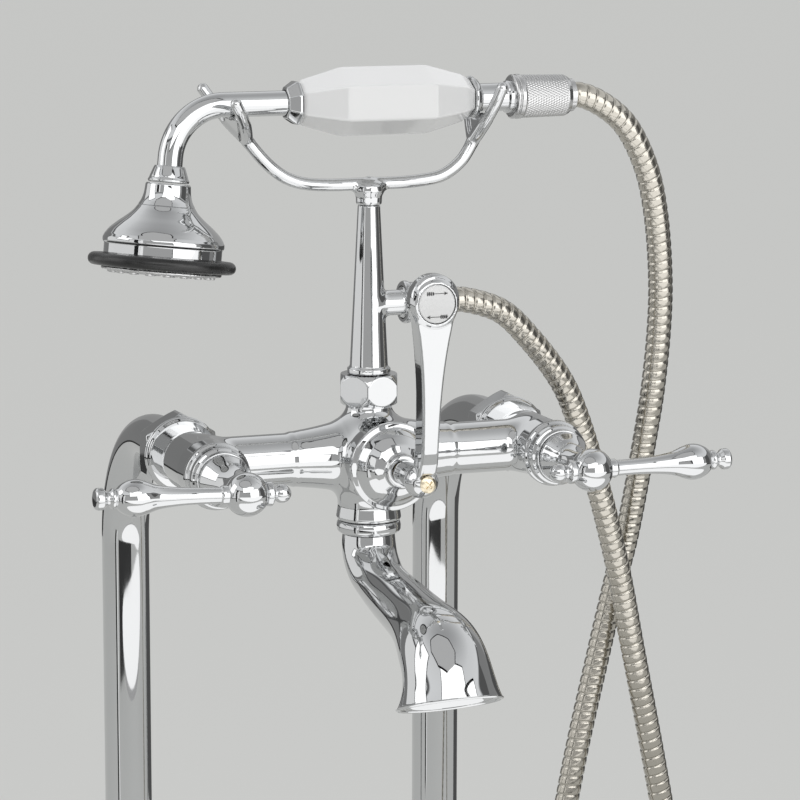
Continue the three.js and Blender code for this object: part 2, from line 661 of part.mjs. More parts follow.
function head() {
  const group = new THREE.Group();
  // Its axis leans, so that the spray points down and away from the grip.
  group.position.set(-109.4, 0, 102.6 - HANDSET_HEIGHT);
  group.rotation.y = HEAD_TILT;
  group.add(
    piece("head_shell", headShell(), CHROME),
    piece("head_nut", headNut(), CHROME),
    piece("head_collar", headCollar(), CHROME),
    piece("head_washer", ring(4.6, NECK_R, 34.4, 36, UP), RUBBER),
    piece("face_plate", facePlate(), SATIN),
    piece("rubber_ring", rubberRing(), RUBBER),
  );
  return group;
}

function handset() {
  const group = new THREE.Group();
  group.position.z = HANDSET_HEIGHT;
  const [from, to] = GRIP_ENDS;
  const cup = turned([
    [6.2, to + GAP], [9.8, to + GAP], [10.4, 55], [9.4, 56.9], [7.8, 57.3], [6.2, 57.3],
    [6.2, to + GAP],
  ], RIGHT, LARGE);
  const rolled = new THREE.Group();
  rolled.rotation.x = HANDSET_ROLL;
  rolled.add(piece("handset_neck", neck(), CHROME), head());
  group.add(
    rolled,
    piece("grip_ferrule", gripFerrule(), CHROME),
    piece("grip_washer", ring(6.3, 7.8, -40, from - GAP, RIGHT), RUBBER),
    piece("grip", grip(), PORCELAIN),
    piece("grip_core", ring(4, 5.8, -40.8, 66.2, RIGHT, 12), BRASS),
    piece("grip_cup", cup, CHROME),
    piece("handset_rear_tube", rearTube(), CHROME),
    piece("hose_nut_handset", handsetNut(), SATIN),
    piece("hose_washer_handset", ring(4.2, 8.2, 84.3, 86.5, RIGHT), RUBBER),
  );
  return group;
}

// ---- Hose ----
function hose() {
  const path = new THREE.CatmullRomCurve3(HOSE_ROUTE.map((p) => new THREE.Vector3(...p)));
  path.arcLengthDivisions = 800;
  return piece("hose", tube(path, 52, HOSE_R, 0, 8), SATIN);
}

const faucet = new THREE.Group();
faucet.position.set(0, -RISER_BACK, BODY_HEIGHT);
faucet.add(supply(), piece("valve_body", valveBody(), CHROME));
for (const [side, sign] of Object.entries(SIDES)) faucet.add(valve(side, sign));
faucet.add(diverter(), spoutParts(), columnParts(), handset(), hose());

export default faucet;
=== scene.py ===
"""Tub filler on two floor risers: the looks. Lengths of the object are in millimetres in the body frame
(origin on the crossbar's axis, +X right, +Y back, +Z up) and are placed in the row frame in metres."""

import math

import bpy
import numpy as np
from mathutils import Matrix, Vector


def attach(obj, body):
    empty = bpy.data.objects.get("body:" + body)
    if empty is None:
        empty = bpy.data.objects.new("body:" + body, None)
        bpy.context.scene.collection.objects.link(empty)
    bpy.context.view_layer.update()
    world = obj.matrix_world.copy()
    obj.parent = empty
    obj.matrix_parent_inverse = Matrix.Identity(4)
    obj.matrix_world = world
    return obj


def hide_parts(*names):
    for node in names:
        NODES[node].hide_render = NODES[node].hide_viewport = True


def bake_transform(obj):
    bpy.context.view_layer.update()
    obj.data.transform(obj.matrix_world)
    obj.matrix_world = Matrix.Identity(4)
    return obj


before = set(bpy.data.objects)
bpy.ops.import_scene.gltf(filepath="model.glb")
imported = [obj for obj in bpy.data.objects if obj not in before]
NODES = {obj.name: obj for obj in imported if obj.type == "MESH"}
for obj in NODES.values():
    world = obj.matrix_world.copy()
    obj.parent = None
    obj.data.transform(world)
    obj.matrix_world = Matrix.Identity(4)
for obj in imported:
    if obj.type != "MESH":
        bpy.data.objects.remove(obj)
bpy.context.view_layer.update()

ORIGIN = np.array([0.0, -138.0, 700.0])  # of the body frame, in the row frame
SIDES = {"left": -1, "right": 1}
VALVE_X = 89.3
FLOOR_Z = -700.0
RISER_BACK = 138.0
RISER_R, RISER_BORE, RISER_BEND = 12.7, 10.4, 66
HANDSET_Z = 178.6
HANDSET_ROLL = math.radians(-4.5)
HEAD_TILT = math.radians(6.7)
NECK_X = -75.6  # where the neck starts to bend
HANDLE_TILT = {"left": 2.2, "right": 0.7}
HANDLE_FORWARD = 76.7
BALL_R = 10.7
DISC_Z = 91.3
BUTTON_Z = 89.6
OUTLET_Z = 76.7  # of the hose outlet on the column

RIGHT, BACK, UP = (np.array(v, float) for v in ((1, 0, 0), (0, 1, 0), (0, 0, 1)))
FRONT = -BACK
FAR = 1e3


# ---- Camera ----
def make_camera():
    """A long lens, in front of the object on its left and a little above it. Its place is in metres."""
    data = bpy.data.cameras.new("camera")
    camera = bpy.data.objects.new("camera", data)
    bpy.context.scene.collection.objects.link(camera)
    place = (-0.5630, -1.6972, 1.0182)
    right = Vector((0.93743, -0.34818, 0.00224)).normalized()
    away = Vector((0.34331, 0.92323, -0.17260)).normalized()
    up = right.cross(away)
    turn = Matrix((right, up, -away)).transposed()
    camera.matrix_world = Matrix.Translation(place) @ turn.to_4x4()
    data.sensor_width = 36.0
    data.lens = 150.15
    data.clip_start, data.clip_end = 0.05, 50.0
    bpy.context.scene.camera = camera


make_camera()


# ---- Mesh helpers ----
def add_mesh(name, points, faces, sharp=None):
    """An object from points in the body frame, in millimetres."""
    mesh = bpy.data.meshes.new(name)
    placed = (np.asarray(points, float) + ORIGIN) / 1000
    mesh.from_pydata(placed.tolist(), [], [list(map(int, f)) for f in faces])
    mesh.validate()
    mesh.polygons.foreach_set("use_smooth", [True] * len(mesh.polygons))
    if sharp:
        mesh.set_sharp_from_angle(angle=math.radians(sharp))
    obj = bpy.data.objects.new(name, mesh)
    bpy.context.scene.collection.objects.link(obj)
    return obj


def finished(obj, slot, body, *nodes):
    """A piece in the material that has its slot's name, on its body and in place of its CAD nodes."""
    obj.data.materials.append(MATERIALS[slot])
    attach(obj, body)
    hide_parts(*nodes)


def perpendicular(axis):
    """The unit axis and two unit directions square to it."""
    axis = np.asarray(axis, float) / np.linalg.norm(axis)
    helper = UP if abs(axis[2]) < 0.9 else BACK
    across = np.cross(axis, helper)
    across /= np.linalg.norm(across)
    return axis, across, np.cross(axis, across)


def rounded(profile, radius=0.5, steps=4):
    """The corners of a [radius, height] profile, rounded."""
    points = [np.array(p, float) for p in profile]
    out = [points[0]]
    for before, here, after in zip(points, points[1:], points[2:]):
        a, b = before - here, after - here
        la, lb = np.linalg.norm(a), np.linalg.norm(b)
        cut = min(radius, 0.42 * la, 0.42 * lb)
        start, end = here + a / la * cut, here + b / lb * cut
        for i in range(steps + 1):
            t = i / steps
            out.append((1 - t) ** 2 * start + 2 * t * (1 - t) * here + t * t * end)
    return [*out, points[-1]]


def spline(points, steps):
    """A Catmull-Rom line through points, centripetal."""
    p = [np.array(q, float) for q in points]
    p = [2 * p[0] - p[1], *p, 2 * p[-1] - p[-2]]
    out = []
    for a, b, c, d in zip(p, p[1:], p[2:], p[3:]):
        t = np.cumsum([0, *(max(np.linalg.norm(v - u), 1e-6) ** 0.5 for u, v in ((a, b), (b, c), (c, d)))])
        for i in range(steps):
            x = t[1] + (t[2] - t[1]) * i / steps
            ab = (t[1] - x) / (t[1] - t[0]) * a + (x - t[0]) / (t[1] - t[0]) * b
            bc = (t[2] - x) / (t[2] - t[1]) * b + (x - t[1]) / (t[2] - t[1]) * c
            cd = (t[3] - x) / (t[3] - t[2]) * c + (x - t[2]) / (t[3] - t[2]) * d
            abc = (t[2] - x) / (t[2] - t[0]) * ab + (x - t[0]) / (t[2] - t[0]) * bc
            bcd = (t[3] - x) / (t[3] - t[1]) * bc + (x - t[1]) / (t[3] - t[1]) * cd
            out.append((t[2] - x) / (t[2] - t[1]) * abc + (x - t[1]) / (t[2] - t[1]) * bcd)
    return [*out, p[-2]]


def arc(r, h, radius, start, end, steps):
    """Points on a circle round (r, h), from one angle to another in degrees."""
    angles = np.radians(np.linspace(start, end, steps + 1))
    return [(r + radius * math.cos(a), h + radius * math.sin(a)) for a in angles]


def loft(rings, loop):
    """Points and faces of a skin over rings of equal count, closed on itself or with a flat cap at each end."""
    count = len(rings[0])
    points = np.concatenate(rings)
    faces = []
    for k in range(len(rings) if loop else len(rings) - 1):
        a, b = k * count, (k + 1) % len(rings) * count
        for i in range(count):
            j = (i + 1) % count
            faces.append((a + i, a + j, b + j, b + i))
    if not loop:
        faces.append(tuple(range(count - 1, -1, -1)))
        last = (len(rings) - 1) * count
        faces.append(tuple(range(last, last + count)))
    return points, faces


def turned(name, profile, origin=(0, 0, 0), axis=UP, segments=96, move=None):
    """A profile of [radius, height] turned about an axis through origin. It closes at radius 0 or on itself."""
    axis, across, other = perpendicular(axis)
    angles = np.linspace(0, 2 * math.pi, segments, endpoint=False)
    circle = np.outer(np.cos(angles), across) + np.outer(np.sin(angles), other)
    loop = np.allclose(profile[0], profile[-1])
    stations = profile[:-1] if loop else profile
    rings = [np.asarray(origin, float) + h * axis + max(r, 0.001) * circle for r, h in stations]
    points, faces = loft(rings, loop=loop)
    if move is not None:
        points = move(points)
    return add_mesh(name, points, faces, 35)


def normals_along(path):
    """Two unit normals at each point of a path, which don't twist round it."""
    path = np.asarray(path, float)
    tangents = np.gradient(path, axis=0)
    tangents /= np.linalg.norm(tangents, axis=1)[:, None]
    _, normal, _ = perpendicular(tangents[0])
    first, second = [], []
    for t in tangents:
        normal = normal - t * (normal @ t)
        normal /= np.linalg.norm(normal)
        first.append(normal)
        second.append(np.cross(t, normal))
    return np.array(first), np.array(second)


def swept(name, path, radius, bore, move=None):
    """A round pipe along a path."""
    path = np.asarray(path, float)
    first, second = normals_along(path)
    angles = np.linspace(0, 2 * math.pi, 64, endpoint=False)

    def ring(i, r):
        return path[i] + r * (np.outer(np.cos(angles), first[i]) + np.outer(np.sin(angles), second[i]))

    rings = [ring(i, radius) for i in range(len(path))]
    rings += [ring(i, bore) for i in reversed(range(len(path)))]
    points, faces = loft(rings, loop=True)
    if move is not None:
        points = move(points)
    return add_mesh(name, points, faces, 35)


# ---- Distance fields for castings: negative inside, in millimetres ----
def smooth_union(a, b, k):
    """What is in a or in b, with a fillet of about k where they meet."""
    h = np.clip(0.5 + 0.5 * (b - a) / k, 0, 1)
    return b + (a - b) * h - k * h * (1 - h)


def smooth_cut(a, b, k):
    """What is in a and not in b."""
    return -smooth_union(-a, b, k)


def revolved(rho, along, profile):
    """Distance to a turned shape whose radius along the axis is a profile of [along, radius], with flat ends."""
    stations = np.array(profile, float)
    radius = np.interp(along, stations[:, 0], stations[:, 1])
    ends = np.maximum(stations[0, 0] - along, along - stations[-1, 0])
    return -smooth_union(-(rho - radius), -ends, 1.2)


def capsule(x, y, z, a, b, radius):
    """Distance to a round-ended bar from a to b."""
    a, b = np.array(a, float), np.array(b, float)
    ab = b - a
    t = ((x - a[0]) * ab[0] + (y - a[1]) * ab[1] + (z - a[2]) * ab[2]) / (ab @ ab)
    t = np.clip(t, 0, 1)
    gap = np.sqrt((x - a[0] - t * ab[0]) ** 2 + (y - a[1] - t * ab[1]) ** 2 + (z - a[2] - t * ab[2]) ** 2)
    return gap - radius


def net(name, field, low, high, step, move=None):
    """A mesh of quads on a field's zero: one point for each cell of a grid that the surface crosses, pulled onto
    the surface and evened out along it."""
    low, high = np.array(low, float), np.array(high, float)
    axes = [np.arange(a, b + step, step) for a, b in zip(low, high)]
    grid = np.meshgrid(*axes, indexing="ij")
    inside = field(*grid) < 0
    cells = sum(
        inside[i : inside.shape[0] - 1 + i, j : inside.shape[1] - 1 + j, k : inside.shape[2] - 1 + k].astype(np.int8)
        for i in (0, 1) for j in (0, 1) for k in (0, 1)
    )
    active = (cells > 0) & (cells < 8)
    number = -np.ones(active.shape, int)
    number[active] = np.arange(active.sum())
    points = low + (np.argwhere(active) + 0.5) * step
    quads = []
    for axis in range(3):
        here = [slice(1, -1)] * 3
        here[axis] = slice(0, inside.shape[axis] - 1)
        there = list(here)
        there[axis] = slice(1, inside.shape[axis])
        a, b = inside[tuple(here)], inside[tuple(there)]
        places = np.argwhere(a != b)
        flip = a[tuple(places.T)]
        u, v = (axis + 1) % 3, (axis + 2) % 3
        base = places.copy()
        base[:, u] += 1
        base[:, v] += 1
        corners = []
        for du, dv in ((-1, -1), (0, -1), (0, 0), (-1, 0)):
            c = base.copy()
            c[:, u] += du
            c[:, v] += dv
            corners.append(number[tuple(c.T)])
        q = np.stack(corners, 1)
        q[~flip] = q[~flip][:, ::-1]
        quads.append(q)
    quads = np.concatenate(quads)
    quads = quads[(quads >= 0).all(1)]

    def gradient(p):
        h = 0.05
        out = np.empty_like(p)
        for i in range(3):
            d = np.zeros(3)
            d[i] = h
            out[:, i] = (field(*(p + d).T) - field(*(p - d).T)) / (2 * h)
        return out

    def pull(p, times):
        for _ in range(times):
            g = gradient(p)
            length2 = np.maximum((g * g).sum(1), 0.05)
            move_by = (field(*p.T) / length2)[:, None] * g
            size = np.linalg.norm(move_by, axis=1)[:, None]
            p = p - move_by * np.minimum(1, step / np.maximum(size, 1e-9))
        return p

    points = pull(points, 4)
    ends = np.concatenate([quads[:, [0, 1]], quads[:, [1, 2]], quads[:, [2, 3]], quads[:, [3, 0]]])
    for _ in range(3):
        total, count = np.zeros_like(points), np.zeros(len(points))
        np.add.at(total, ends[:, 0], points[ends[:, 1]])
        np.add.at(total, ends[:, 1], points[ends[:, 0]])
        np.add.at(count, ends[:, 0], 1)
        np.add.at(count, ends[:, 1], 1)
        points = pull(0.5 * points + 0.5 * total / count[:, None], 2)
    if move is not None:
        points = move(points)
    return add_mesh(name, points, quads)


def polar(name, radius, stations, origin, axis, zero, bore, segments, sharp=30):
    """Rings at stations along an axis whose radius depends on the angle from zero and on the height, bored through."""
    axis, zero = np.asarray(axis, float), np.asarray(zero, float)
    other = np.cross(axis, zero)
    angles = np.linspace(0, 2 * math.pi, segments, endpoint=False)
    circle = np.outer(np.cos(angles), zero) + np.outer(np.sin(angles), other)
    origin = np.asarray(origin, float)
    rings = [origin + h * axis + np.broadcast_to(radius(angles, h), angles.shape)[:, None] * circle for h in stations]
    rings += [origin + h * axis + bore * circle for h in (stations[-1], stations[0])]
    points, faces = loft(rings, loop=True)
    return add_mesh(name, points, faces, sharp)


def hexagon(angles, corner, soft=0.2):
    """Radius of a hexagon with a corner at angle zero, its corners a little rounded."""
    flats = np.radians(30 + 60 * np.arange(6))
    facing = np.cos(angles[:, None] - flats)
    reach = np.where(facing > 0.2, corner * math.cos(math.pi / 6) / np.maximum(facing, 0.2), FAR)
    low = reach.min(1)
    return low - soft * np.log(np.exp(-(reach - low[:, None]) / soft).sum(1))


# ---- Materials ----
def material(name, colours, rough, metallic, grain, bump, coat=0.0):
    """Colour and roughness wander between two values with soft noise of scale grain, and another noise lifts the
    surface: bump is its strength, distance and scale."""
    made = bpy.data.materials.new(name)
    made.use_nodes = True
    nodes, link = made.node_tree.nodes, made.node_tree.links.new
    shader = nodes["Principled BSDF"]
    shader.inputs["Metallic"].default_value = metallic
    shader.inputs["Coat Weight"].default_value = coat
    shader.inputs["Coat Roughness"].default_value = 0.04
    place = nodes.new("ShaderNodeTexCoord").outputs["Object"]

    def noise(scale, detail=3.0):
        node = nodes.new("ShaderNodeTexNoise")
        node.inputs["Scale"].default_value = scale
        node.inputs["Detail"].default_value = detail
        link(place, node.inputs["Vector"])
        return node.outputs["Fac"]

    tint = nodes.new("ShaderNodeMix")
    tint.data_type = "RGBA"
    tint.inputs["A"].default_value = (*colours[0], 1)
    tint.inputs["B"].default_value = (*colours[1], 1)
    link(noise(grain), tint.inputs["Factor"])
    link(tint.outputs["Result"], shader.inputs["Base Color"])
    spread = nodes.new("ShaderNodeMapRange")
    spread.inputs["From Min"].default_value = 0.3
    spread.inputs["From Max"].default_value = 0.7
    spread.inputs["To Min"].default_value = rough[0]
    spread.inputs["To Max"].default_value = rough[1]
    link(noise(grain * 2.3, 5.0), spread.inputs["Value"])
    link(spread.outputs["Result"], shader.inputs["Roughness"])
    lift = nodes.new("ShaderNodeBump")
    lift.inputs["Strength"].default_value = bump[0]
    lift.inputs["Distance"].default_value = bump[1]
    link(noise(bump[2]), lift.inputs["Height"])
    link(lift.outputs["Normal"], shader.inputs["Normal"])
    return made


def grey(v, warm=0.0):
    """A grey, tinted a little towards red when warm."""
    return (v * (1 + warm), v, v * (1 - warm))


LOOKS = {
    "chrome": ([(0.60, 0.607, 0.612), (0.635, 0.641, 0.645)], (0.03, 0.055), 1.0, 30, (0.03, 0.0002, 55)),
    "satin_chrome": ([grey(0.55), grey(0.60)], (0.16, 0.26), 1.0, 50, (0.1, 0.0001, 900)),
    "knurled_chrome": ([grey(0.52), grey(0.60)], (0.12, 0.22), 1.0, 80, (0.1, 0.0001, 900)),
    "hose_steel": ([(0.46, 0.435, 0.385), (0.55, 0.525, 0.47)], (0.09, 0.2), 1.0, 90, (0.15, 0.0001, 1200)),
    "porcelain": ([grey(0.83, 0.004), grey(0.87)], (0.06, 0.12), 0, 18, (0.04, 0.0004, 30), 0.6),
    "white_button": ([grey(0.80, 0.006), grey(0.84)], (0.12, 0.2), 0, 120, (0.05, 5e-5, 600), 0.3),
    "black_enamel": ([grey(0.012), grey(0.02)], (0.2, 0.35), 0, 400, (0.05, 2e-5, 900)),
    "brass_screw": ([(0.80, 0.72, 0.56), (0.70, 0.61, 0.45)], (0.16, 0.34), 1.0, 260, (0.2, 8e-5, 900)),
    "inner_brass": ([(0.66, 0.48, 0.22), (0.54, 0.38, 0.17)], (0.25, 0.45), 1.0, 160, (0.3, 0.0001, 700)),
    "steel_screw": ([grey(0.42), grey(0.52)], (0.25, 0.4), 1.0, 300, (0.3, 8e-5, 900)),
    "seal_rubber": ([grey(0.018), grey(0.03)], (0.5, 0.7), 0, 200, (0.3, 0.0001, 900)),
    "ring_rubber": ([grey(0.010), grey(0.018)], (0.22, 0.34), 0, 120, (0.15, 0.0001, 700)),
}
MATERIALS = {name: material(name, *look) for name, look in LOOKS.items()}


# ---- Hose: a wound strip of steel over its inner tube ----
HOSE_R = 6.5
HOSE_PITCH = 5.1
# One turn of the strip, from its share of the pitch to its height over HOSE_R: a narrow groove, a rolled edge and a
# barrel that falls away a little.
HOSE_STRIP = [
    (0, -0.8), (0.05, -0.7), (0.1, -0.12), (0.16, 0), (0.5, -0.03), (0.8, -0.16), (0.9, -0.32), (0.96, -0.7), (1, -0.8),
]
HOSE_ROUTE = [
    [45.2, 0, 76.7], [50, 0, 76.6], [71.6, 1, 69.6], [89, 3, 53.9], [108.7, 7, 29.8], [120, 11, 7.9],
    [137, 18, -37], [144.4, 21, -60], [151.2, 24, -83], [160, 27, -120], [176, 30, -190],
    [192, 32, -270], [204, 34, -350], [209, 35, -420], [210, 35.5, -492], [193.6, 36, -532],
    [154, 36.5, -548.5], [114.4, 37, -532], [98, 38, -492], [100, 39.5, -420], [107, 41, -350],
    [119, 43, -270], [134, 45, -190], [148, 46, -130], [157.8, 44, -85], [161.5, 41, -65],
    [164.5, 38, -43], [168, 31, -4], [169.5, 27, 18], [169.8, 21, 51], [168, 16, 78.5],
    [161.3, 9, 116.3], [153.5, 5, 140.5], [140.5, 2, 162.2], [127, 0.4, 173], [114.5, 0, 178.4],
    [109.7, 0, 178.6],
]


def evenly(path, step):
    """Points at even steps along a path, and how far along it each one is."""
    path = np.asarray(path, float)
    along = np.concatenate([[0], np.cumsum(np.linalg.norm(np.diff(path, axis=0), axis=1))])
    count = round(along[-1] / step) + 1
    wanted = np.linspace(0, along[-1], count)
    return np.stack([np.interp(wanted, along, path[:, i]) for i in range(3)], 1), wanted


def make_hose():
    line, along = evenly(spline(HOSE_ROUTE, 24), 0.4)
    first, second = normals_along(line)
    angles = np.linspace(0, 2 * math.pi, 28, endpoint=False)
    turn = np.mod(along[:, None] / HOSE_PITCH - angles / (2 * math.pi), 1.0)
    stations, depth = np.array(HOSE_STRIP).T
    radius = HOSE_R + np.interp(turn, stations, depth)
    rings = (
        line[:, None]
        + (radius * np.cos(angles))[:, :, None] * first[:, None]
        + (radius * np.sin(angles))[:, :, None] * second[:, None]
    )
    points, faces = loft(list(rings), loop=False)
    hose = add_mesh("hose_wound", points, faces)
    hose.data.materials.append(MATERIALS["hose_steel"])
    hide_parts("hose")
    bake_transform(hose)


make_hose()


# ---- Supply: risers, floor flanges and unions ----
def make_supply():
    bend = [(0, y, z) for y, z in arc(RISER_BACK - RISER_BEND, -RISER_BEND, RISER_BEND, 0, 90, 28)]
    straight = [(0, RISER_BACK, z) for z in np.linspace(FLOOR_Z, -70, 12)]
    flange = rounded([
        (13.1, 0), (32, 0), (32, 2.5), (29, 4.8), (20, 7.4), (16.4, 11), (15.2, 19), (13.1, 19), (13.1, 0),
    ], 1.4)
    shoulder = 31
    heights = np.concatenate([
        np.linspace(27, 31, 14), np.linspace(31.1, 34, 20), np.linspace(34.5, 41, 8), np.linspace(41.2, 44, 20),
    ])
    outline = rounded([
        (30, 0), (17.3, 27), (19.2, 28.6), (19.2, 30.9), (19.6, 31.1), (21.2, 32.6), (21.3, 41.8), (19, 44), (0, 44),
    ], 0.5)[1:-1]
    radii, at = np.array(outline).T

    def nut_radius(angles, h):
        """Round up to the shoulder, then six flats with their corners chamfered."""
        limit = np.interp(h, at, radii)
        return np.minimum(hexagon(angles, 21), limit) if h > shoulder else np.full(len(angles), limit)

    for side, sign in SIDES.items():
        x = sign * VALVE_X
        path = np.array([*straight, *bend, (0, 60, 0), (0, 50, 0), (0, 39.3, 0)]) + (x, 0, 0)
        finished(swept(f"riser_{side}", path, RISER_R, RISER_BORE), "chrome", "root", f"supply_riser_{side}")
        foot = turned(f"flange_{side}", flange, (x, RISER_BACK, FLOOR_Z))
        finished(foot, "chrome", "root", f"floor_flange_{side}")
        nut = polar(f"union_{side}", nut_radius, heights, (x, 0, 0), BACK, UP, bore=13.1, segments=216)
        finished(nut, "chrome", "root", f"union_nut_{side}")


make_supply()


# ---- Valve body ----
def body_field(x, y, z):
    """The crossbar with its middle, the boss of the diverter and a barrel for each valve, hollow throughout."""
    pipe = np.maximum(np.hypot(y, z) - 13.3, np.abs(x) - VALVE_X)
    middle = revolved(np.hypot(x, y), z, [
        (-33, 16.5), (-31, 16.4), (-26, 15.6), (-8, 17.3), (8, 17.3), (21, 12.6), (24, 11.6), (30, 11.6),
    ])
    flare = revolved(np.hypot(y, z), x, [(-40, 12), (-36, 13.2), (-16, 18), (16, 18), (36, 13.2), (40, 12)])
    boss = revolved(np.hypot(x, z), -y, [(-2, 18), (0, 19.3), (33, 19.3)])
    body = smooth_union(smooth_union(pipe, flare, 5), middle, 7)
    body = smooth_union(body, boss, 6)
    barrel = revolved(np.hypot(np.abs(x) - VALVE_X, z), y, [
        (-27, 14), (-12, 15.2), (12, 15.2), (18, 14), (36, 14),
    ])
    body = smooth_union(body, barrel, 5)
    hollows = [
        revolved(np.hypot(x, z), -y, [(4, 11.5), (6, 13.4), (34, 13.4)]),
        revolved(np.hypot(x, y), z, [(-34, 11.6), (-19, 11.6), (-18.9, 8), (31, 8)]),
        revolved(np.hypot(np.abs(x) - VALVE_X, z), y, [(-28, 10.4), (3, 10.4), (3.1, 8.6), (37, 8.6)]),
        np.maximum(np.hypot(y, z) - 7.5, np.abs(x) - VALVE_X),
    ]
    for hollow in hollows:
        body = smooth_cut(body, hollow, 0.8)
    return body


finished(net("valve_casting", body_field, (-107, -36, -36), (107, 39, 33), 0.9), "chrome", "root", "valve_body")


# ---- Valves and lever handles ----
def make_valve(side, sign):
    x = sign * VALVE_X
    body = f"handle_{side}"
    bonnet = rounded([
        (8.8, 18), (10, 18), (10, 27.3), (16.8, 27.3), (16.8, 30.6), (15.3, 31.6), (15.3, 36.6), (13.5, 37.6),
        (13.5, 40), (4.6, 40), (4.6, 31), (8.8, 31), (8.8, 18),
    ], 0.6)
    finished(turned(f"bonnet_{side}", bonnet, (x, 0, 0), FRONT), "chrome", "root", f"valve_bonnet_{side}")
    hub = [
        (0, 62), (4.3, 62), (4.3, 41),
        *rounded([(4.4, 41), (13, 41), (13.05, 43.4), (12.7, 43.9)], 0.6)[1:],
        *spline([(12.7, 43.9), (10.8, 47.4), (8, 52.6), (6.6, 60), (6.4, 66)], 8)[1:],
        *arc(0, HANDLE_FORWARD, BALL_R, -52, 89.5, 28),
    ]
    finished(turned(f"hub_{side}", hub, (x, 0, 0), FRONT), "chrome", body, f"handle_hub_{side}")
    tilt = math.radians(HANDLE_TILT[side])
    outward = np.array([sign * math.cos(tilt), 0, math.sin(tilt)])
    centre = np.array([x, -HANDLE_FORWARD, 0])
    lever = [
        (0, 9),
        *rounded([(0.1, 9), (4.6, 9.2), (4.7, 12.5), (3.9, 13.4)], 0.5)[1:],
        *spline([
            (3.9, 13.4), (4.0, 25), (4.6, 35), (5.9, 44), (8, 50), (8.9, 54), (8.4, 58.5), (6.6, 62), (4.5, 64.2),
        ], 8)[1:],
        *rounded([
            (4.5, 64.2), (4.3, 64.6), (4.9, 65.4), (4.9, 66.5), (3.4, 67.8), (3.3, 69), (5.2, 70.9), (5.3, 73.8),
            (4.4, 74.8), (0, 74.9),
        ], 0.5)[1:],
    ]
    finished(turned(f"lever_{side}", lever, centre, outward, 72), "chrome", body, f"handle_lever_{side}")
    finial = [
        (0, 9),
        *rounded([(0.1, 9), (5.8, 9.4), (6.1, 12.2), (3.6, 13.4), (3.5, 14)], 0.6)[1:],
        *arc(0, 17.5, 4.6, -42, 89, 20),
    ]
    finished(turned(f"finial_{side}", finial, centre, -outward, 64), "chrome", body, f"handle_finial_{side}")


for side, sign in SIDES.items():
    make_valve(side, sign)


# ---- Diverter ----
def bezier(a, b, c, d):
    t = np.linspace(0, 1, 40)
    return (1 - t) ** 3 * a + 3 * t * (1 - t) ** 2 * b + 3 * t * t * (1 - t) * c + t**3 * d


def lever_field(x, y, z):
    """A flat arm that widens into a disc, leaning forward as it rises, with a rim for the button and a round hub."""
    forward = -y
    half = np.interp(z, bezier(3, 34, 60, 85.7), bezier(4.4, 4.1, 4.6, 10.6))
    arm = np.maximum(np.abs(x) - half, np.maximum(z - 86, 3 - z))
    outline = smooth_union(arm, np.hypot(x, z - DISC_Z) - 12.4, 2.5)
    front = np.interp(z, [3, 6, 10, 16, 76, 104], [83, 85.4, 87.4, 88.6, 94, 94])
    back = np.interp(
        z, [3, 12, 24, 36, 48, 60, 72, 84, 90, 104], [74, 75.8, 77.6, 79, 80.2, 81.4, 83, 85.4, 86.5, 86.6],
    )
    plate = -smooth_union(-(forward - front), -(back - forward), 1.0)
    bevel = (outline + (forward - front)) / math.sqrt(2) + 0.75
    lever = -smooth_union(smooth_union(-outline, -plate, 1.2), -bevel, 0.6)
    rim = revolved(np.hypot(x, z - BUTTON_Z), forward, [(91, 11.9), (94, 11.5), (95.3, 10.9), (96, 10.2)])
    lever = smooth_union(lever, rim, 1.6)
    hub = smooth_union(
        revolved(np.hypot(x, z), forward, [(52, 6.2), (70, 6.2)]),
        np.sqrt(x * x + z * z + (forward - 75) ** 2) - 8.3, 1.5,
    )
    lever = smooth_union(lever, hub, 2.0)
    for room in (
        np.maximum(np.hypot(x, z - BUTTON_Z) - 9.6, 92 - forward),
        np.maximum(np.hypot(x, z) - 4.8, 83.4 - forward),
        np.maximum(np.hypot(x, z) - 4.3, forward - 61),
    ):
        lever = smooth_cut(lever, room, 0.3)
    return lever


def screw_field(x, y, z):
    """A domed head with two crossed slots, on its shank."""
    forward = -y
    rho = np.hypot(x, z)
    slot_half, slot_reach = 0.42, 2.3
    dome = revolved(rho, forward, [(83.7, 4.3), (84.6, 4.2), (85.4, 3.0), (85.8, 1.6), (86, 0.5)])
    slots = np.minimum(
        np.maximum(np.abs(x + z) / 1.414 - slot_half, np.abs(x - z) / 1.414 - slot_reach),
        np.maximum(np.abs(x - z) / 1.414 - slot_half, np.abs(x + z) / 1.414 - slot_reach),
    )
    head = smooth_cut(dome, np.maximum(slots, 84.6 - forward), 0.15)
    return np.minimum(head, np.maximum(rho - 2, np.maximum(68.5 - forward, forward - 84)))


def arrow(length, height, tail):
    """Outline of an arrow along +X round the middle of its shaft: a filled head and a tail of four feathers."""
    shaft, end = 0.14, length / 2
    top = [(end, 0), (end - 1.9, height / 2), (end - 1.5, shaft), (-end + tail, shaft)]
    for i in range(4):
        x = -end + tail - i * tail / 4
        top += [(x, shaft), (x - 0.25, height / 2), (x - 0.85, height / 2), (x - 0.6, shaft)]
    top.append((-end, shaft))
    return [*top, *((x, -y) for x, y in reversed(top[1:]))]


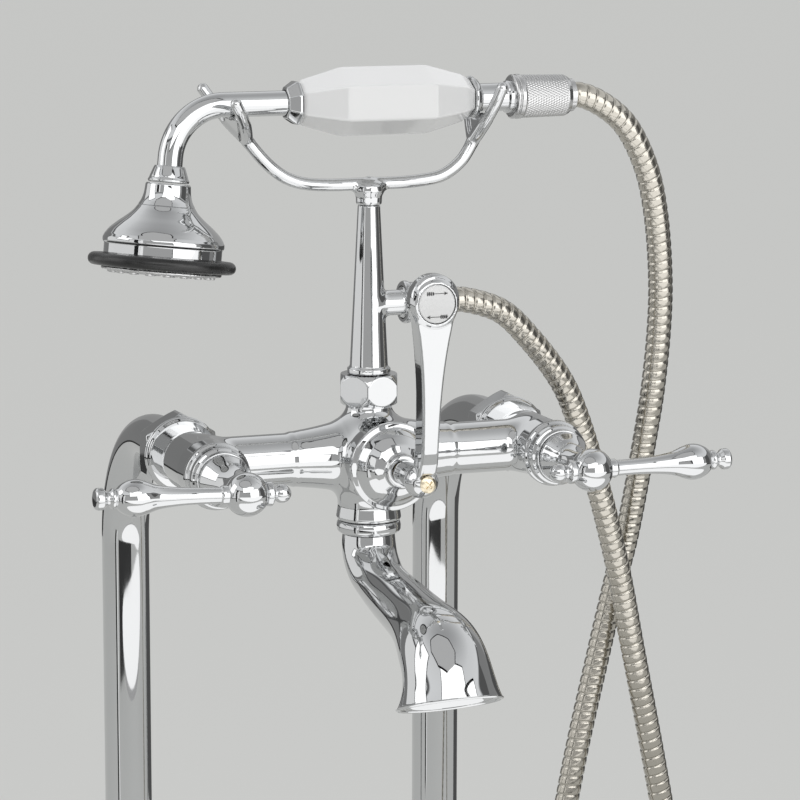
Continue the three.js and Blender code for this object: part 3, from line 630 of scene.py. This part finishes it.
def make_button():
    """A white face with two black arrows, one each way, as one piece in two materials."""
    profile = rounded([(0, 92.3), (9.3, 92.3), (9.3, 95.2), (8.8, 95.6), (5, 95.72), (0, 95.76)], 0.3)
    face = turned("diverter_face", profile, (0, 0, BUTTON_Z), FRONT)
    face.data.materials.append(MATERIALS["white_button"])
    face.data.materials.append(MATERIALS["black_enamel"])
    vertices = [tuple(v.co) for v in face.data.vertices]
    polygons = [tuple(p.vertices) for p in face.data.polygons]
    marks = [0] * len(polygons)
    for up, way in ((5.1, 1), (-6.1, -1)):
        outline = [(way * x, up + z) for x, z in arrow(10.7, 1.7, 3.8)][::way]
        base = len(vertices)
        for depth in (95.4, 95.82):
            vertices += [tuple((np.array([x, -depth, BUTTON_Z + z]) + ORIGIN) / 1000) for x, z in outline]
        n = len(outline)
        polygons.append(tuple(range(base + n, base + 2 * n)))
        for i in range(n):
            j = (i + 1) % n
            polygons.append((base + i, base + j, base + n + j, base + n + i))
        marks += [1] * (n + 1)
    mesh = face.data
    mesh.clear_geometry()
    mesh.from_pydata(vertices, [], polygons)
    mesh.polygons.foreach_set("material_index", marks)
    mesh.polygons.foreach_set("use_smooth", [True] * len(polygons))
    mesh.set_sharp_from_angle(angle=math.radians(35))
    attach(face, "diverter")
    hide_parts("diverter_button")


def make_diverter():
    bonnet = rounded([
        (9.6, 24), (13, 24), (13, 33.3), (21.6, 33.3), (22.4, 34.2), (22.4, 36.2), (19.6, 37.2), (18.9, 38.6),
        (16.6, 42.2), (12.8, 45.6), (8.6, 47.6), (8.2, 50.6), (4.6, 50.6), (4.6, 40), (9.6, 40), (9.6, 24),
    ], 1.0)
    finished(turned("diverter_dome", bonnet, axis=FRONT, segments=128), "chrome", "root", "diverter_bonnet")
    lever = net("diverter_handle", lever_field, (-14, -98, -10), (14, -51, 105), 0.55)
    finished(lever, "chrome", "diverter", "diverter_lever")
    screw = net("diverter_fixing", screw_field, (-5, -87, -5), (5, -68, 5), 0.2)
    finished(screw, "brass_screw", "diverter", "diverter_screw")
    make_button()


make_diverter()


# ---- Spout ----
# [y, z] of the front and the back of each ring down the spout, from its inlet to its mouth.
SPOUT_SIDES = [
    [[-13.2, -40.6], [13.2, -40.6]], [[-13.5, -43.3], [13.6, -44.9]], [[-13.9, -44.7], [12.2, -56.4]],
    [[-14.9, -45.8], [1.3, -68.6]], [[-19.5, -48.8], [-10.3, -73.2]], [[-26, -50.8], [-19.8, -76]],
    [[-38.2, -52.2], [-34.5, -79.2]], [[-56.5, -53.7], [-52.9, -82.3]], [[-74.8, -55.5], [-69.6, -85.5]],
    [[-90.1, -56.4], [-81.5, -90.4]], [[-99.8, -57.4], [-87.4, -93.8]], [[-110.9, -60.4], [-91.3, -96.8]],
    [[-122.8, -67.8], [-92.2, -97.9]], [[-132.2, -79.7], [-92.3, -99.9]], [[-137.1, -88.7], [-92.3, -104.2]],
    [[-139.3, -92.7], [-90.4, -111.6]],
]


def make_spout():
    wall, lip = 2.2, 1.1
    sides = np.array(spline(np.array(SPOUT_SIDES, float).reshape(-1, 4), 7))
    reach, blur = 7, 3.5
    weights = np.exp(-0.5 * (np.arange(-reach, reach + 1) / blur) ** 2)
    longer = np.concatenate([2 * sides[0] - sides[reach:0:-1], sides, 2 * sides[-1] - sides[-2 : -reach - 2 : -1]])
    smoothed = [np.convolve(longer[:, i], weights / weights.sum(), "valid") for i in range(4)]
    sides = np.stack(smoothed, 1).reshape(-1, 2, 2)
    angles = np.linspace(0, 2 * math.pi, 96, endpoint=False)

    def ring(pair, shrink, shift=0.0):
        """A circle across a pair of sides, smaller by shrink and moved by shift along the spout."""
        front, back = (np.array([0, *side]) for side in pair)
        across = (front - back) / np.linalg.norm(front - back)
        radius = np.linalg.norm(front - back) / 2 - shrink
        middle = (front + back) / 2 + shift * np.cross(RIGHT, across)
        return middle + radius * (np.outer(np.cos(angles), RIGHT) + np.outer(np.sin(angles), across))

    outer = [ring(pair, 0) for pair in sides[:-2]]
    mouth = [ring(sides[-1], lip - lip * math.cos(a), lip * math.sin(a) - lip) for a in np.linspace(0, math.pi, 10)]
    inner = [ring(pair, wall) for pair in reversed(sides[:-2])]
    points, faces = loft([*outer, *mouth, *inner], loop=True)
    finished(add_mesh("spout_casting", points, faces, 40), "chrome", "root", "spout")
    collar = rounded([
        (11.6, -40.2), (14.2, -40.2), (16.2, -38.8), (16.3, -35.6), (15.6, -33.4), (11.6, -33.3), (11.6, -40.2),
    ], 0.9)
    finished(turned("spout_ring", collar), "chrome", "root", "spout_collar")


make_spout()


# ---- Column, its nut and the hose outlet ----
def column_field(x, y, z):
    """The tapering post and the branch for the hose, with the waterway through both."""
    rho = np.hypot(x, y)
    post = revolved(rho, z, [
        (32.6, 11.8), (36, 11.8), (36.1, 9.6), (41.7, 9.6), (41.9, 10.9), (44.3, 10.9), (45.4, 9.6), (126.5, 5.6),
        (126.6, 3.5), (132.5, 3.5),
    ])
    branch = np.maximum(np.hypot(y, z - OUTLET_Z) - 6.4, np.maximum(-x, x - 18))
    nipple = np.maximum(np.hypot(y, z - OUTLET_Z) - 8, np.maximum(17.5 - x, x - 30))
    made = np.minimum(smooth_union(post, branch, 2.5), nipple)
    bore = np.maximum(rho - 5, z - 84)
    outlet = np.maximum(np.hypot(y, z - OUTLET_Z) - 3.6, -x)
    return smooth_cut(smooth_cut(made, bore, 0.6), outlet, 0.6)


COLUMN_NUT = (26.3, 41.5)


def nut_sphere(angles, h):
    """A hexagon under a slightly flattened ball, which rounds its corners off above and below."""
    corner, ball, flatness = 16.5, 16.7, 1.18
    rise = abs(h - sum(COLUMN_NUT) / 2) * flatness
    return np.minimum(hexagon(angles, corner), math.sqrt(max(ball**2 - rise**2, 0)))


def make_column():
    turn = math.radians(-20)
    zero = np.array([math.sin(turn), -math.cos(turn), 0])
    heights = np.linspace(*COLUMN_NUT, 90)
    nut = polar("column_coupling", nut_sphere, heights, (0, 0, 0), UP, zero, bore=10.1, segments=240)
    finished(nut, "chrome", "root", "column_nut")
    post = net("column_post", column_field, (-13, -13, 31), (32, 13, 134), 0.75)
    finished(post, "chrome", "root", "column")
    start, end = 17.8, 44.9
    outlet = rounded([
        (8.4, start), (10.2, start), (10.8, start + 0.7), (10.8, start + 2.6), (10, start + 3.2), (9.8, 38),
        (8.8, 42), (7.4, end), (4, end), (4, 32.6), (8.4, 32.6), (8.4, start),
    ], 0.6)
    finished(turned("outlet_coupling", outlet, (0, 0, OUTLET_Z), RIGHT), "chrome", "root", "hose_nut_outlet")


make_column()


# ---- Cradle ----
def make_cradle():
    """Two arms that curve up to a fork each, with a web between the prongs. Each fork is its foot and the tip it
    leans to, then a prong as (across, up the lean) and what the back prong ends with instead."""
    left_arm = [
        (0, 137.3), (-22, 137.3), (-35, 138.6), (-43.3, 141.5), (-49.3, 145.4), (-55, 150.6), (-59.7, 155.9),
        (-64, 161.3),
    ]
    right_arm = [
        (0, 137.3), (16.7, 137.3), (28, 138), (38, 139.7), (44, 142.7), (49.6, 147.4), (53, 152.2), (55.8, 157.3),
    ]
    forks = [
        (
            (-64, 161.3), (-77.9, 183.5),
            [(0, 0), (5, 2.6), (14.4, 9.7), (20.4, 18.2), (22.2, 22.8)], [(23.5, 26.2), (24, 27.6)],
        ),
        ((55.8, 157.3), (62.5, 185), [(0, 0), (4, 3.2), (11.5, 11), (18, 20), (22, 28.5)], []),
    ]
    arm_r, prong_r, web_half = 3.15, 2.85, 1.8
    bars = []
    for arm in (left_arm, right_arm):
        line = spline(arm, 3)
        bars += [((a[0], 0, a[1]), (b[0], 0, b[1]), arm_r) for a, b in zip(line, line[1:])]
    webs = []
    for base, tip, prong, longer in forks:
        rise = np.array(tip, float) - base
        rise /= np.linalg.norm(rise)
        for sign in (-1, 1):
            line = spline([*prong[:-1], *longer] if sign > 0 and longer else prong, 4)
            at = [(base[0] + rise[0] * up, sign * side, base[1] + rise[1] * up) for side, up in line]
            bars += [(a, b, prong_r) for a, b in zip(at, at[1:])]
        corner = prong[2]
        webs.append((base, rise, [(0, -2), corner, (9, 14.5), (-9, 14.5), (-corner[0], corner[1])]))

    def field(x, y, z):
        near = np.full(np.shape(x), FAR)
        for a, b, r in bars:
            near = np.minimum(near, capsule(x, y, z, a, b, r))
        for base, rise, outline in webs:
            across, up = y, (x - base[0]) * rise[0] + (z - base[1]) * rise[1]
            normal = (x - base[0]) * rise[1] - (z - base[1]) * rise[0]
            inside = np.full(np.shape(x), -FAR)
            for (ax, ay), (bx, by) in zip(outline, [*outline[1:], outline[0]]):
                length = math.hypot(bx - ax, by - ay)
                inside = np.maximum(inside, ((across - ax) * (by - ay) - (up - ay) * (bx - ax)) / length)
            plate = -smooth_union(-inside, -(np.abs(normal) - web_half), 1.5)
            near = smooth_union(near, plate, 2.5)
        collar = revolved(np.hypot(x, y), z, [
            (126.8, 6.4), (131, 6.6), (134, 8), (136.5, 7.6), (138, 6.4), (139.6, 3), (140.3, 0.4),
        ])
        near = smooth_union(near, collar, 2.5)
        axis = np.hypot(y, z - HANDSET_Z)
        for room in (
            np.maximum(axis - 6.5, np.abs(x + 75) - 15),
            np.maximum(axis - 8.0, np.abs(x - 60) - 20),
            np.maximum(axis - 10.9, np.abs(x - 53.85) - 3.85),
            np.maximum(np.hypot(x, y) - 3.9, z - 133),
        ):
            near = smooth_cut(near, room, 0.5)
        return near

    finished(net("cradle_casting", field, (-84, -29, 126), (70, 29, 193), 0.8), "chrome", "root", "cradle")


make_cradle()


# ---- Hand shower ----
def roll(points):
    """The neck and the head hang a little to the front."""
    points = points.copy()
    y, z = points[:, 1].copy(), points[:, 2] - HANDSET_Z
    points[:, 1] = y * math.cos(HANDSET_ROLL) - z * math.sin(HANDSET_ROLL)
    points[:, 2] = y * math.sin(HANDSET_ROLL) + z * math.cos(HANDSET_ROLL) + HANDSET_Z
    return points


HEAD = np.array([-109.4, 0, 102.6])
HEAD_AXIS = np.array([math.sin(HEAD_TILT), 0, math.cos(HEAD_TILT)])


def plate_field(x, y, z):
    """A shallow dish with three rings of raised nozzles, the outer ring's holes only part of the way through."""
    edge = 29.4
    rho = np.hypot(x, y)
    low = np.interp(rho, [0, 14, 24, 28.8, edge], [-5.8, -5.6, -5.2, -4.8, -4.3])
    high = np.interp(rho, [0, 12, 20, 26.6, 26.7, edge], [-2, -1.4, 0.2, 1.4, -3.4, -3.5])
    plate = np.maximum(np.maximum(low - z, z - high), rho - edge)
    for radius, count in ((9, 6), (18, 12), (24.5, 18)):
        angle = np.arctan2(y, x)
        step = 2 * math.pi / count
        angle = np.mod(angle + step / 2, step) - step / 2
        hole = np.hypot(rho * np.cos(angle) - radius, rho * np.sin(angle))
        plate = smooth_union(plate, np.maximum(hole - 1.9, np.abs(z + 5.2) - 0.9), 0.4)
        if radius < 20:
            plate = smooth_cut(plate, hole - 1.0, 0.3)
        else:
            plate = smooth_cut(plate, np.maximum(hole - 0.9, z + 4.6), 0.3)
    return plate


def make_head():
    shell = [
        *rounded([(27, -3), (28.9, -3), (28.9, 8.2), (29.8, 9.2), (29.8, 11), (29.2, 12.2)], 0.5),
        *spline([(29.0, 12.7), (27.0, 15.4), (23.2, 18.9), (18.8, 22.4), (15.8, 25.2), (14.0, 27.7)], 8),
        *rounded([
            (13.8, 27.8), (4.6, 27.8), (4.6, 25), (9.6, 24.6), (15, 21.4), (21, 17), (26.4, 11.6), (27, -3),
        ], 0.4),
    ]
    nut = [
        (6.6, 38.9), (6.6, 34), (4.6, 34), (4.6, 27.9), (13.8, 27.9),
        *spline([(13.9, 28.0), (12.5, 30.6), (11.6, 33.6), (11.25, 36.4), (11.1, 38.2)], 6),
        (10.6, 38.9), (6.6, 38.9),
    ]
    collar = rounded([
        (6.6, 39.3), (9.8, 39.3), (10.3, 40.4), (9.6, 41.5), (9.3, 42.6), (7.8, 46.6), (7.3, 47.5), (6.6, 47.5),
        (6.6, 39.3),
    ], 0.5)
    rubber = [(29.2, -2.9), *arc(33.1, 0, 3.1, -80, 80, 18), (29.2, 2.9), (29.2, -2.9)]
    for name, slot, node, profile, segments in (
        ("head_bell", "chrome", "head_shell", shell, 128),
        ("head_coupling", "chrome", "head_nut", nut, 128),
        ("head_flange", "chrome", "head_collar", collar, 96),
        ("head_bumper", "ring_rubber", "rubber_ring", rubber, 160),
    ):
        finished(turned(name, profile, HEAD, HEAD_AXIS, segments, roll), slot, "handset", node)
    across = np.array([math.cos(HEAD_TILT), 0, -math.sin(HEAD_TILT)])
    turn = np.stack([across, BACK, HEAD_AXIS])
    plate = net(
        "spray_plate", plate_field, (-31, -31, -8), (31, 31, 3), 0.55, lambda points: roll(points @ turn + HEAD),
    )
    finished(plate, "satin_chrome", "handset", "face_plate")


def porcelain(angles, h):
    """Six flats that swell to the middle, its corners barely rounded."""
    profile = rounded([(10, -37), (11.4, -35.6), (17.3, -15), (17.3, 30), (11.9, 49.6), (9.0, 53.6)], 2.2, 8)
    radii, at = np.array(profile).T
    return hexagon(angles, np.interp(h, at, radii), 0.22)


def ferrule(angles, h):
    """Eight flats, their corners cut a little."""
    corner = np.interp(
        h, [-44.1, -43.8, -39.6, -39.1, -38.2, -37.9, -37.3], [7.7, 8.3, 11.2, 11.45, 11.45, 11.3, 10.9],
    )
    facing = np.cos(angles[:, None] - np.radians(45 * np.arange(8)))
    reach = np.where(facing > 0.3, corner * math.cos(math.pi / 8) / np.maximum(facing, 0.3), FAR)
    return np.minimum(reach.min(1), corner * 0.985)


def knurl(angles, h):
    """A fine diamond pattern between two plain rings and a plain nose."""
    profile = rounded([
        (10.3, 75.7), (11.2, 76.3), (11.2, 77.2), (10.6, 77.6), (10.6, 78), (11.3, 78.4), (11.3, 80.3), (10.9, 80.8),
        (10.5, 104.2), (9.4, 106.5), (7.1, 107), (7, 109.3),
    ], 0.4)
    radii, at = np.array(profile).T
    base = np.interp(h, at, radii)
    if not 81 < h < 103.6:
        return np.full(len(angles), base)
    teeth, pitch, crest, groove = 50, 1.42, 0.06, 0.30

    def ridge(lean):
        return np.abs(np.mod(angles / (2 * math.pi) * teeth + lean * h / pitch / 2, 1) * 2 - 1)

    return base + crest - groove * (1 - np.minimum(ridge(1), ridge(-1)))


def make_handset():
    radius, reach = 28, 8.2
    bend = arc(NECK_X, HANDSET_Z - radius, radius, 90, 180 - math.degrees(HEAD_TILT), 26)
    end = np.array([bend[-1][0], 0, bend[-1][1]])
    path = [
        *((x, 0, HANDSET_Z) for x in np.linspace(-41.1, NECK_X + 1.5, 12)), *((x, 0, z) for x, z in bend),
        tuple(end - 4 * HEAD_AXIS), tuple(end - reach * HEAD_AXIS),
    ]
    finished(swept("neck_tube", path, 6.2, 4.6, roll), "chrome", "handset", "handset_neck")
    make_head()

    origin = (0, 0, HANDSET_Z)
    heights = np.concatenate([np.linspace(-37, -32, 14), np.linspace(-31.4, 46, 120), np.linspace(46.4, 53.6, 24)])
    grip = polar("grip_glaze", porcelain, heights, origin, RIGHT, UP, bore=6.1, segments=192, sharp=50)
    finished(grip, "porcelain", "handset", "grip")
    heights = np.concatenate([
        np.linspace(-44.1, -43.8, 4), np.linspace(-43.5, -39.7, 8), np.linspace(-39.6, -37.3, 20),
    ])
    eight = polar("ferrule_eight", ferrule, heights, origin, RIGHT, UP, bore=6.6, segments=240)
    finished(eight, "chrome", "handset", "grip_ferrule")
    cup = rounded([(6.2, 53.9), (9.8, 53.9), (10.4, 55), (9.4, 56.9), (7.8, 57.3), (6.2, 57.3), (6.2, 53.9)], 0.4)
    finished(turned("cup_ring", cup, origin, RIGHT), "chrome", "handset", "grip_cup")
    tube = rounded([
        (6.1, 57.6), (7.7, 57.6), (7.1, 58.4), (7.1, 72.4), (8.2, 73.3), (8.2, 84), (4, 84), (4, 66.5), (6.1, 66.5),
        (6.1, 57.6),
    ], 0.3)
    finished(turned("rear_tube", tube, origin, RIGHT), "chrome", "handset", "handset_rear_tube")
    heights = np.concatenate([
        np.linspace(75.7, 80.9, 44), np.linspace(81.01, 103.59, 206), np.linspace(103.7, 109.3, 34),
    ])
    nut = polar("hose_coupling", knurl, heights, origin, RIGHT, UP, bore=8.3, segments=640, sharp=60)
    finished(nut, "knurled_chrome", "handset", "hose_nut_handset")


make_handset()


# ---- Pieces inside that keep their CAD shape ----
INNER = {
    "seal_rubber": [
        "union_washer_left", "union_washer_right", "spout_o_ring", "column_seal", "hose_washer_outlet", "head_washer",
        "grip_washer", "hose_washer_handset",
    ],
    "inner_brass": [
        "valve_cartridge_left", "valve_cartridge_right", "valve_stem_left", "valve_stem_right", "diverter_cartridge",
        "diverter_stem", "grip_core",
    ],
    "steel_screw": ["handle_set_screw_left", "handle_set_screw_right", "cradle_screw"],
}
for look, names in INNER.items():
    for name in names:
        NODES[name].data.materials.clear()
        NODES[name].data.materials.append(MATERIALS[look])


# ---- Stage: floor, world and lights, in metres of the row frame ----
CENTRE_Y = -0.14
CENTRE = Vector((0.0, CENTRE_Y, 0.75))
PALE = (0.60, 0.604, 0.575)
# Level directions from the object: towards the camera, and to the camera's right.
AHEAD = (-0.3486, -0.9373)
ASIDE = (0.9373, -0.3486)


def glowing(name, level, diffuse=0.0):
    """A dull material that gives off an even light of its own."""
    made = bpy.data.materials.new(name)
    made.use_nodes = True
    shader = made.node_tree.nodes["Principled BSDF"]
    shader.inputs["Base Color"].default_value = (diffuse, diffuse, diffuse, 1)
    shader.inputs["Specular IOR Level"].default_value = 0
    shader.inputs["Roughness"].default_value = 1.0
    shader.inputs["Emission Color"].default_value = (*level, 1)
    shader.inputs["Emission Strength"].default_value = 1.0
    return made


def plain(name, points, faces, *materials):
    mesh = bpy.data.meshes.new(name)
    mesh.from_pydata(points, [], faces)
    for made in materials:
        mesh.materials.append(made)
    obj = bpy.data.objects.new(name, mesh)
    bpy.context.scene.collection.objects.link(obj)
    return obj


def ellipse(centre, size, count):
    """Points on a level ellipse of two half widths."""
    return [
        (centre[0] + size[0] * math.cos(a), centre[1] + size[1] * math.sin(a), centre[2])
        for a in np.linspace(0, 2 * math.pi, count, endpoint=False)
    ]


def make_floor():
    radius, count = 40, 64
    glow = glowing("floor", [0.50 * v for v in PALE], 0.38)
    floor = plain("floor", ellipse((0, 0, 0), (radius, radius), count), [tuple(range(count))], glow)


def make_world():
    """Light by height: even low down, a dark line where a ceiling would begin, then brightest, and less overhead.
    The camera sees the floor's own tone instead."""
    world = bpy.data.worlds.new("studio")
    bpy.context.scene.world = world
    world.use_nodes = True
    nodes, link = world.node_tree.nodes, world.node_tree.links.new
    direction = nodes.new("ShaderNodeTexCoord")
    parts = nodes.new("ShaderNodeSeparateXYZ")
    sky = nodes.new("ShaderNodeValToRGB")
    stops = ((0.0, 0.6), (0.40, 0.6), (0.42, 0.12), (0.45, 0.12), (0.48, 0.95), (0.7, 0.88), (0.9, 0.6), (1.0, 0.45))
    while len(sky.color_ramp.elements) < len(stops):
        sky.color_ramp.elements.new(1.0)
    for stop, (at, level) in zip(sky.color_ramp.elements, stops):
        stop.position = at
        stop.color = (level, level * 1.01, level * 1.02, 1)
    link(direction.outputs["Generated"], parts.inputs[0])
    link(parts.outputs["Z"], sky.inputs[0])
    seen = nodes.new("ShaderNodeMix")
    seen.data_type = "RGBA"
    link(sky.outputs["Color"], seen.inputs["A"])
    seen.inputs["B"].default_value = (*PALE, 1)
    link(nodes.new("ShaderNodeLightPath").outputs["Is Camera Ray"], seen.inputs["Factor"])
    link(seen.outputs["Result"], nodes["Background"].inputs["Color"])


def only_reflected(obj):
    obj.visible_camera = False
    obj.visible_shadow = False
    obj.visible_diffuse = False


# Upright walls that only reflections see: from and to in degrees from AHEAD, left negative, then distance, foot,
# top and level. The first ten are a room, the eleventh a skirting round it and the rest stand inside it.
WALLS = (
    (-180, -158, 3.2, 0.0, 2.1, 0.34), (-158, -125, 3.2, 0.0, 2.1, 0.24), (-125, -54, 3.2, 0.0, 2.1, 0.95),
    (-54, -42, 3.2, 0.0, 2.1, 0.02), (-42, -36, 3.2, 0.0, 2.1, 1.2), (-36, 58, 3.2, 0.0, 2.1, 0.50),
    (58, 78, 3.2, 0.0, 2.1, 0.40), (78, 106, 3.2, 0.0, 2.1, 0.12), (106, 140, 3.2, 0.0, 2.1, 0.28),
    (140, 180, 3.2, 0.0, 2.1, 0.42), (-180, 180, 3.1, 0.0, 0.12, 0.05),
    (-54, -48, 1.5, 0.0, 1.2, 0.02), (-46, -43, 1.5, 0.0, 1.2, 1.1), (-34, 30, 2.1, 0.0, 0.2, 0.05),
    (118, 172, 1.6, 0.0, 0.75, 0.10),
)


def make_walls():
    points, faces, marks = [], [], []
    for k, (start, end, distance, foot, top, _) in enumerate(WALLS):
        steps = np.radians(np.linspace(start, end, max(2, int((end - start) / 4) + 1)))
        base = len(points)
        for a in steps:
            x = AHEAD[0] * math.cos(a) + ASIDE[0] * math.sin(a)
            y = AHEAD[1] * math.cos(a) + ASIDE[1] * math.sin(a)
            points += [(distance * x, distance * y + CENTRE_Y, z) for z in (foot, top)]
        for i in range(len(steps) - 1):
            faces.append((base + 2 * i, base + 2 * i + 2, base + 2 * i + 3, base + 2 * i + 1))
            marks.append(k)
    glows = [glowing(f"wall_{k}", (level, level * 1.003, level)) for k, (*_, level) in enumerate(WALLS)]
    walls = plain("walls", points, faces, *glows)
    walls.data.polygons.foreach_set("material_index", marks)
    only_reflected(walls)


def make_sheets():
    """White sheets in front and below, where a tub would be, grey underneath. Only reflections see them."""
    for name, x, y, top, size, white in (
        ("sheet_front", 0.12, -1.15, 0.59, (1.15, 0.72), 1.5), ("sheet_below", 0.02, -0.36, 0.5, (0.34, 0.15), 1.4),
    ):
        for label, z, level in (("", top, white), ("_back", top - 0.007, 0.5)):
            glow = glowing(name + label, (level, level, level))
            only_reflected(plain(name + label, ellipse((x, y, z), size, 48), [tuple(range(48))], glow))


def card(name, azimuth, rise, distance, size, level, sides, rim):
    """A bright sheet that faces the object, with a wider black one behind it. Only reflections see them."""
    a, e = math.radians(azimuth), math.radians(rise)
    way = (Vector((*AHEAD, 0)) * math.cos(a) + Vector((*ASIDE, 0)) * math.sin(a)) * math.cos(e)
    way += Vector((0, 0, math.sin(e)))
    across = way.cross(Vector((0, 0, 1))).normalized()
    upward = across.cross(way)
    scale = math.sqrt(2) if sides == 4 else 1.0
    corners = [math.pi / sides + 2 * math.pi * i / sides for i in range(sides)]
    for label, grow, behind, glow in (("", 0.0, 0.0, level), ("_rim", rim, 0.02, 0.0)):
        middle = CENTRE + way * (distance + behind)
        half_x, half_y = ((side / 2 + grow) * scale for side in size)
        points = [tuple(middle + across * half_x * math.cos(c) + upward * half_y * math.sin(c)) for c in corners]
        only_reflected(plain(name + label, points, [tuple(range(sides))], glowing(name + label, (glow, glow, glow))))


def area_light(name, at, size, power):
    data = bpy.data.lights.new(name, "AREA")
    data.shape = "RECTANGLE"
    data.size, data.size_y = size
    data.energy = power
    light = bpy.data.objects.new(name, data)
    light.location = at
    light.rotation_mode = "QUATERNION"
    light.rotation_quaternion = (CENTRE - Vector(at)).to_track_quat("-Z", "Y")
    light.visible_glossy = False
    bpy.context.scene.collection.objects.link(light)


make_floor()
make_world()
make_walls()
make_sheets()
card("softbox", 42, 12, 1.5, (1.3, 1.0), 2.2, 4, 0.05)
card("overhead", 10, 33, 1.5, (1.5, 0.8), 2.0, 4, 0.05)
card("umbrella", -16, 62, 1.4, (1.5, 1.1), 0.62, 8, 0.06)
card("window", -80, 24, 1.7, (0.9, 1.0), 1.7, 4, 0.05)
area_light("key", (0.75, -2.3, 1.9), (1.3, 1.0), 12)
area_light("fill", (-2.2, -0.6, 1.6), (1.0, 1.6), 4)
area_light("top", (0.1, -0.2, 2.7), (1.6, 1.0), 4)
bpy.context.scene.view_settings.view_transform = "Standard"
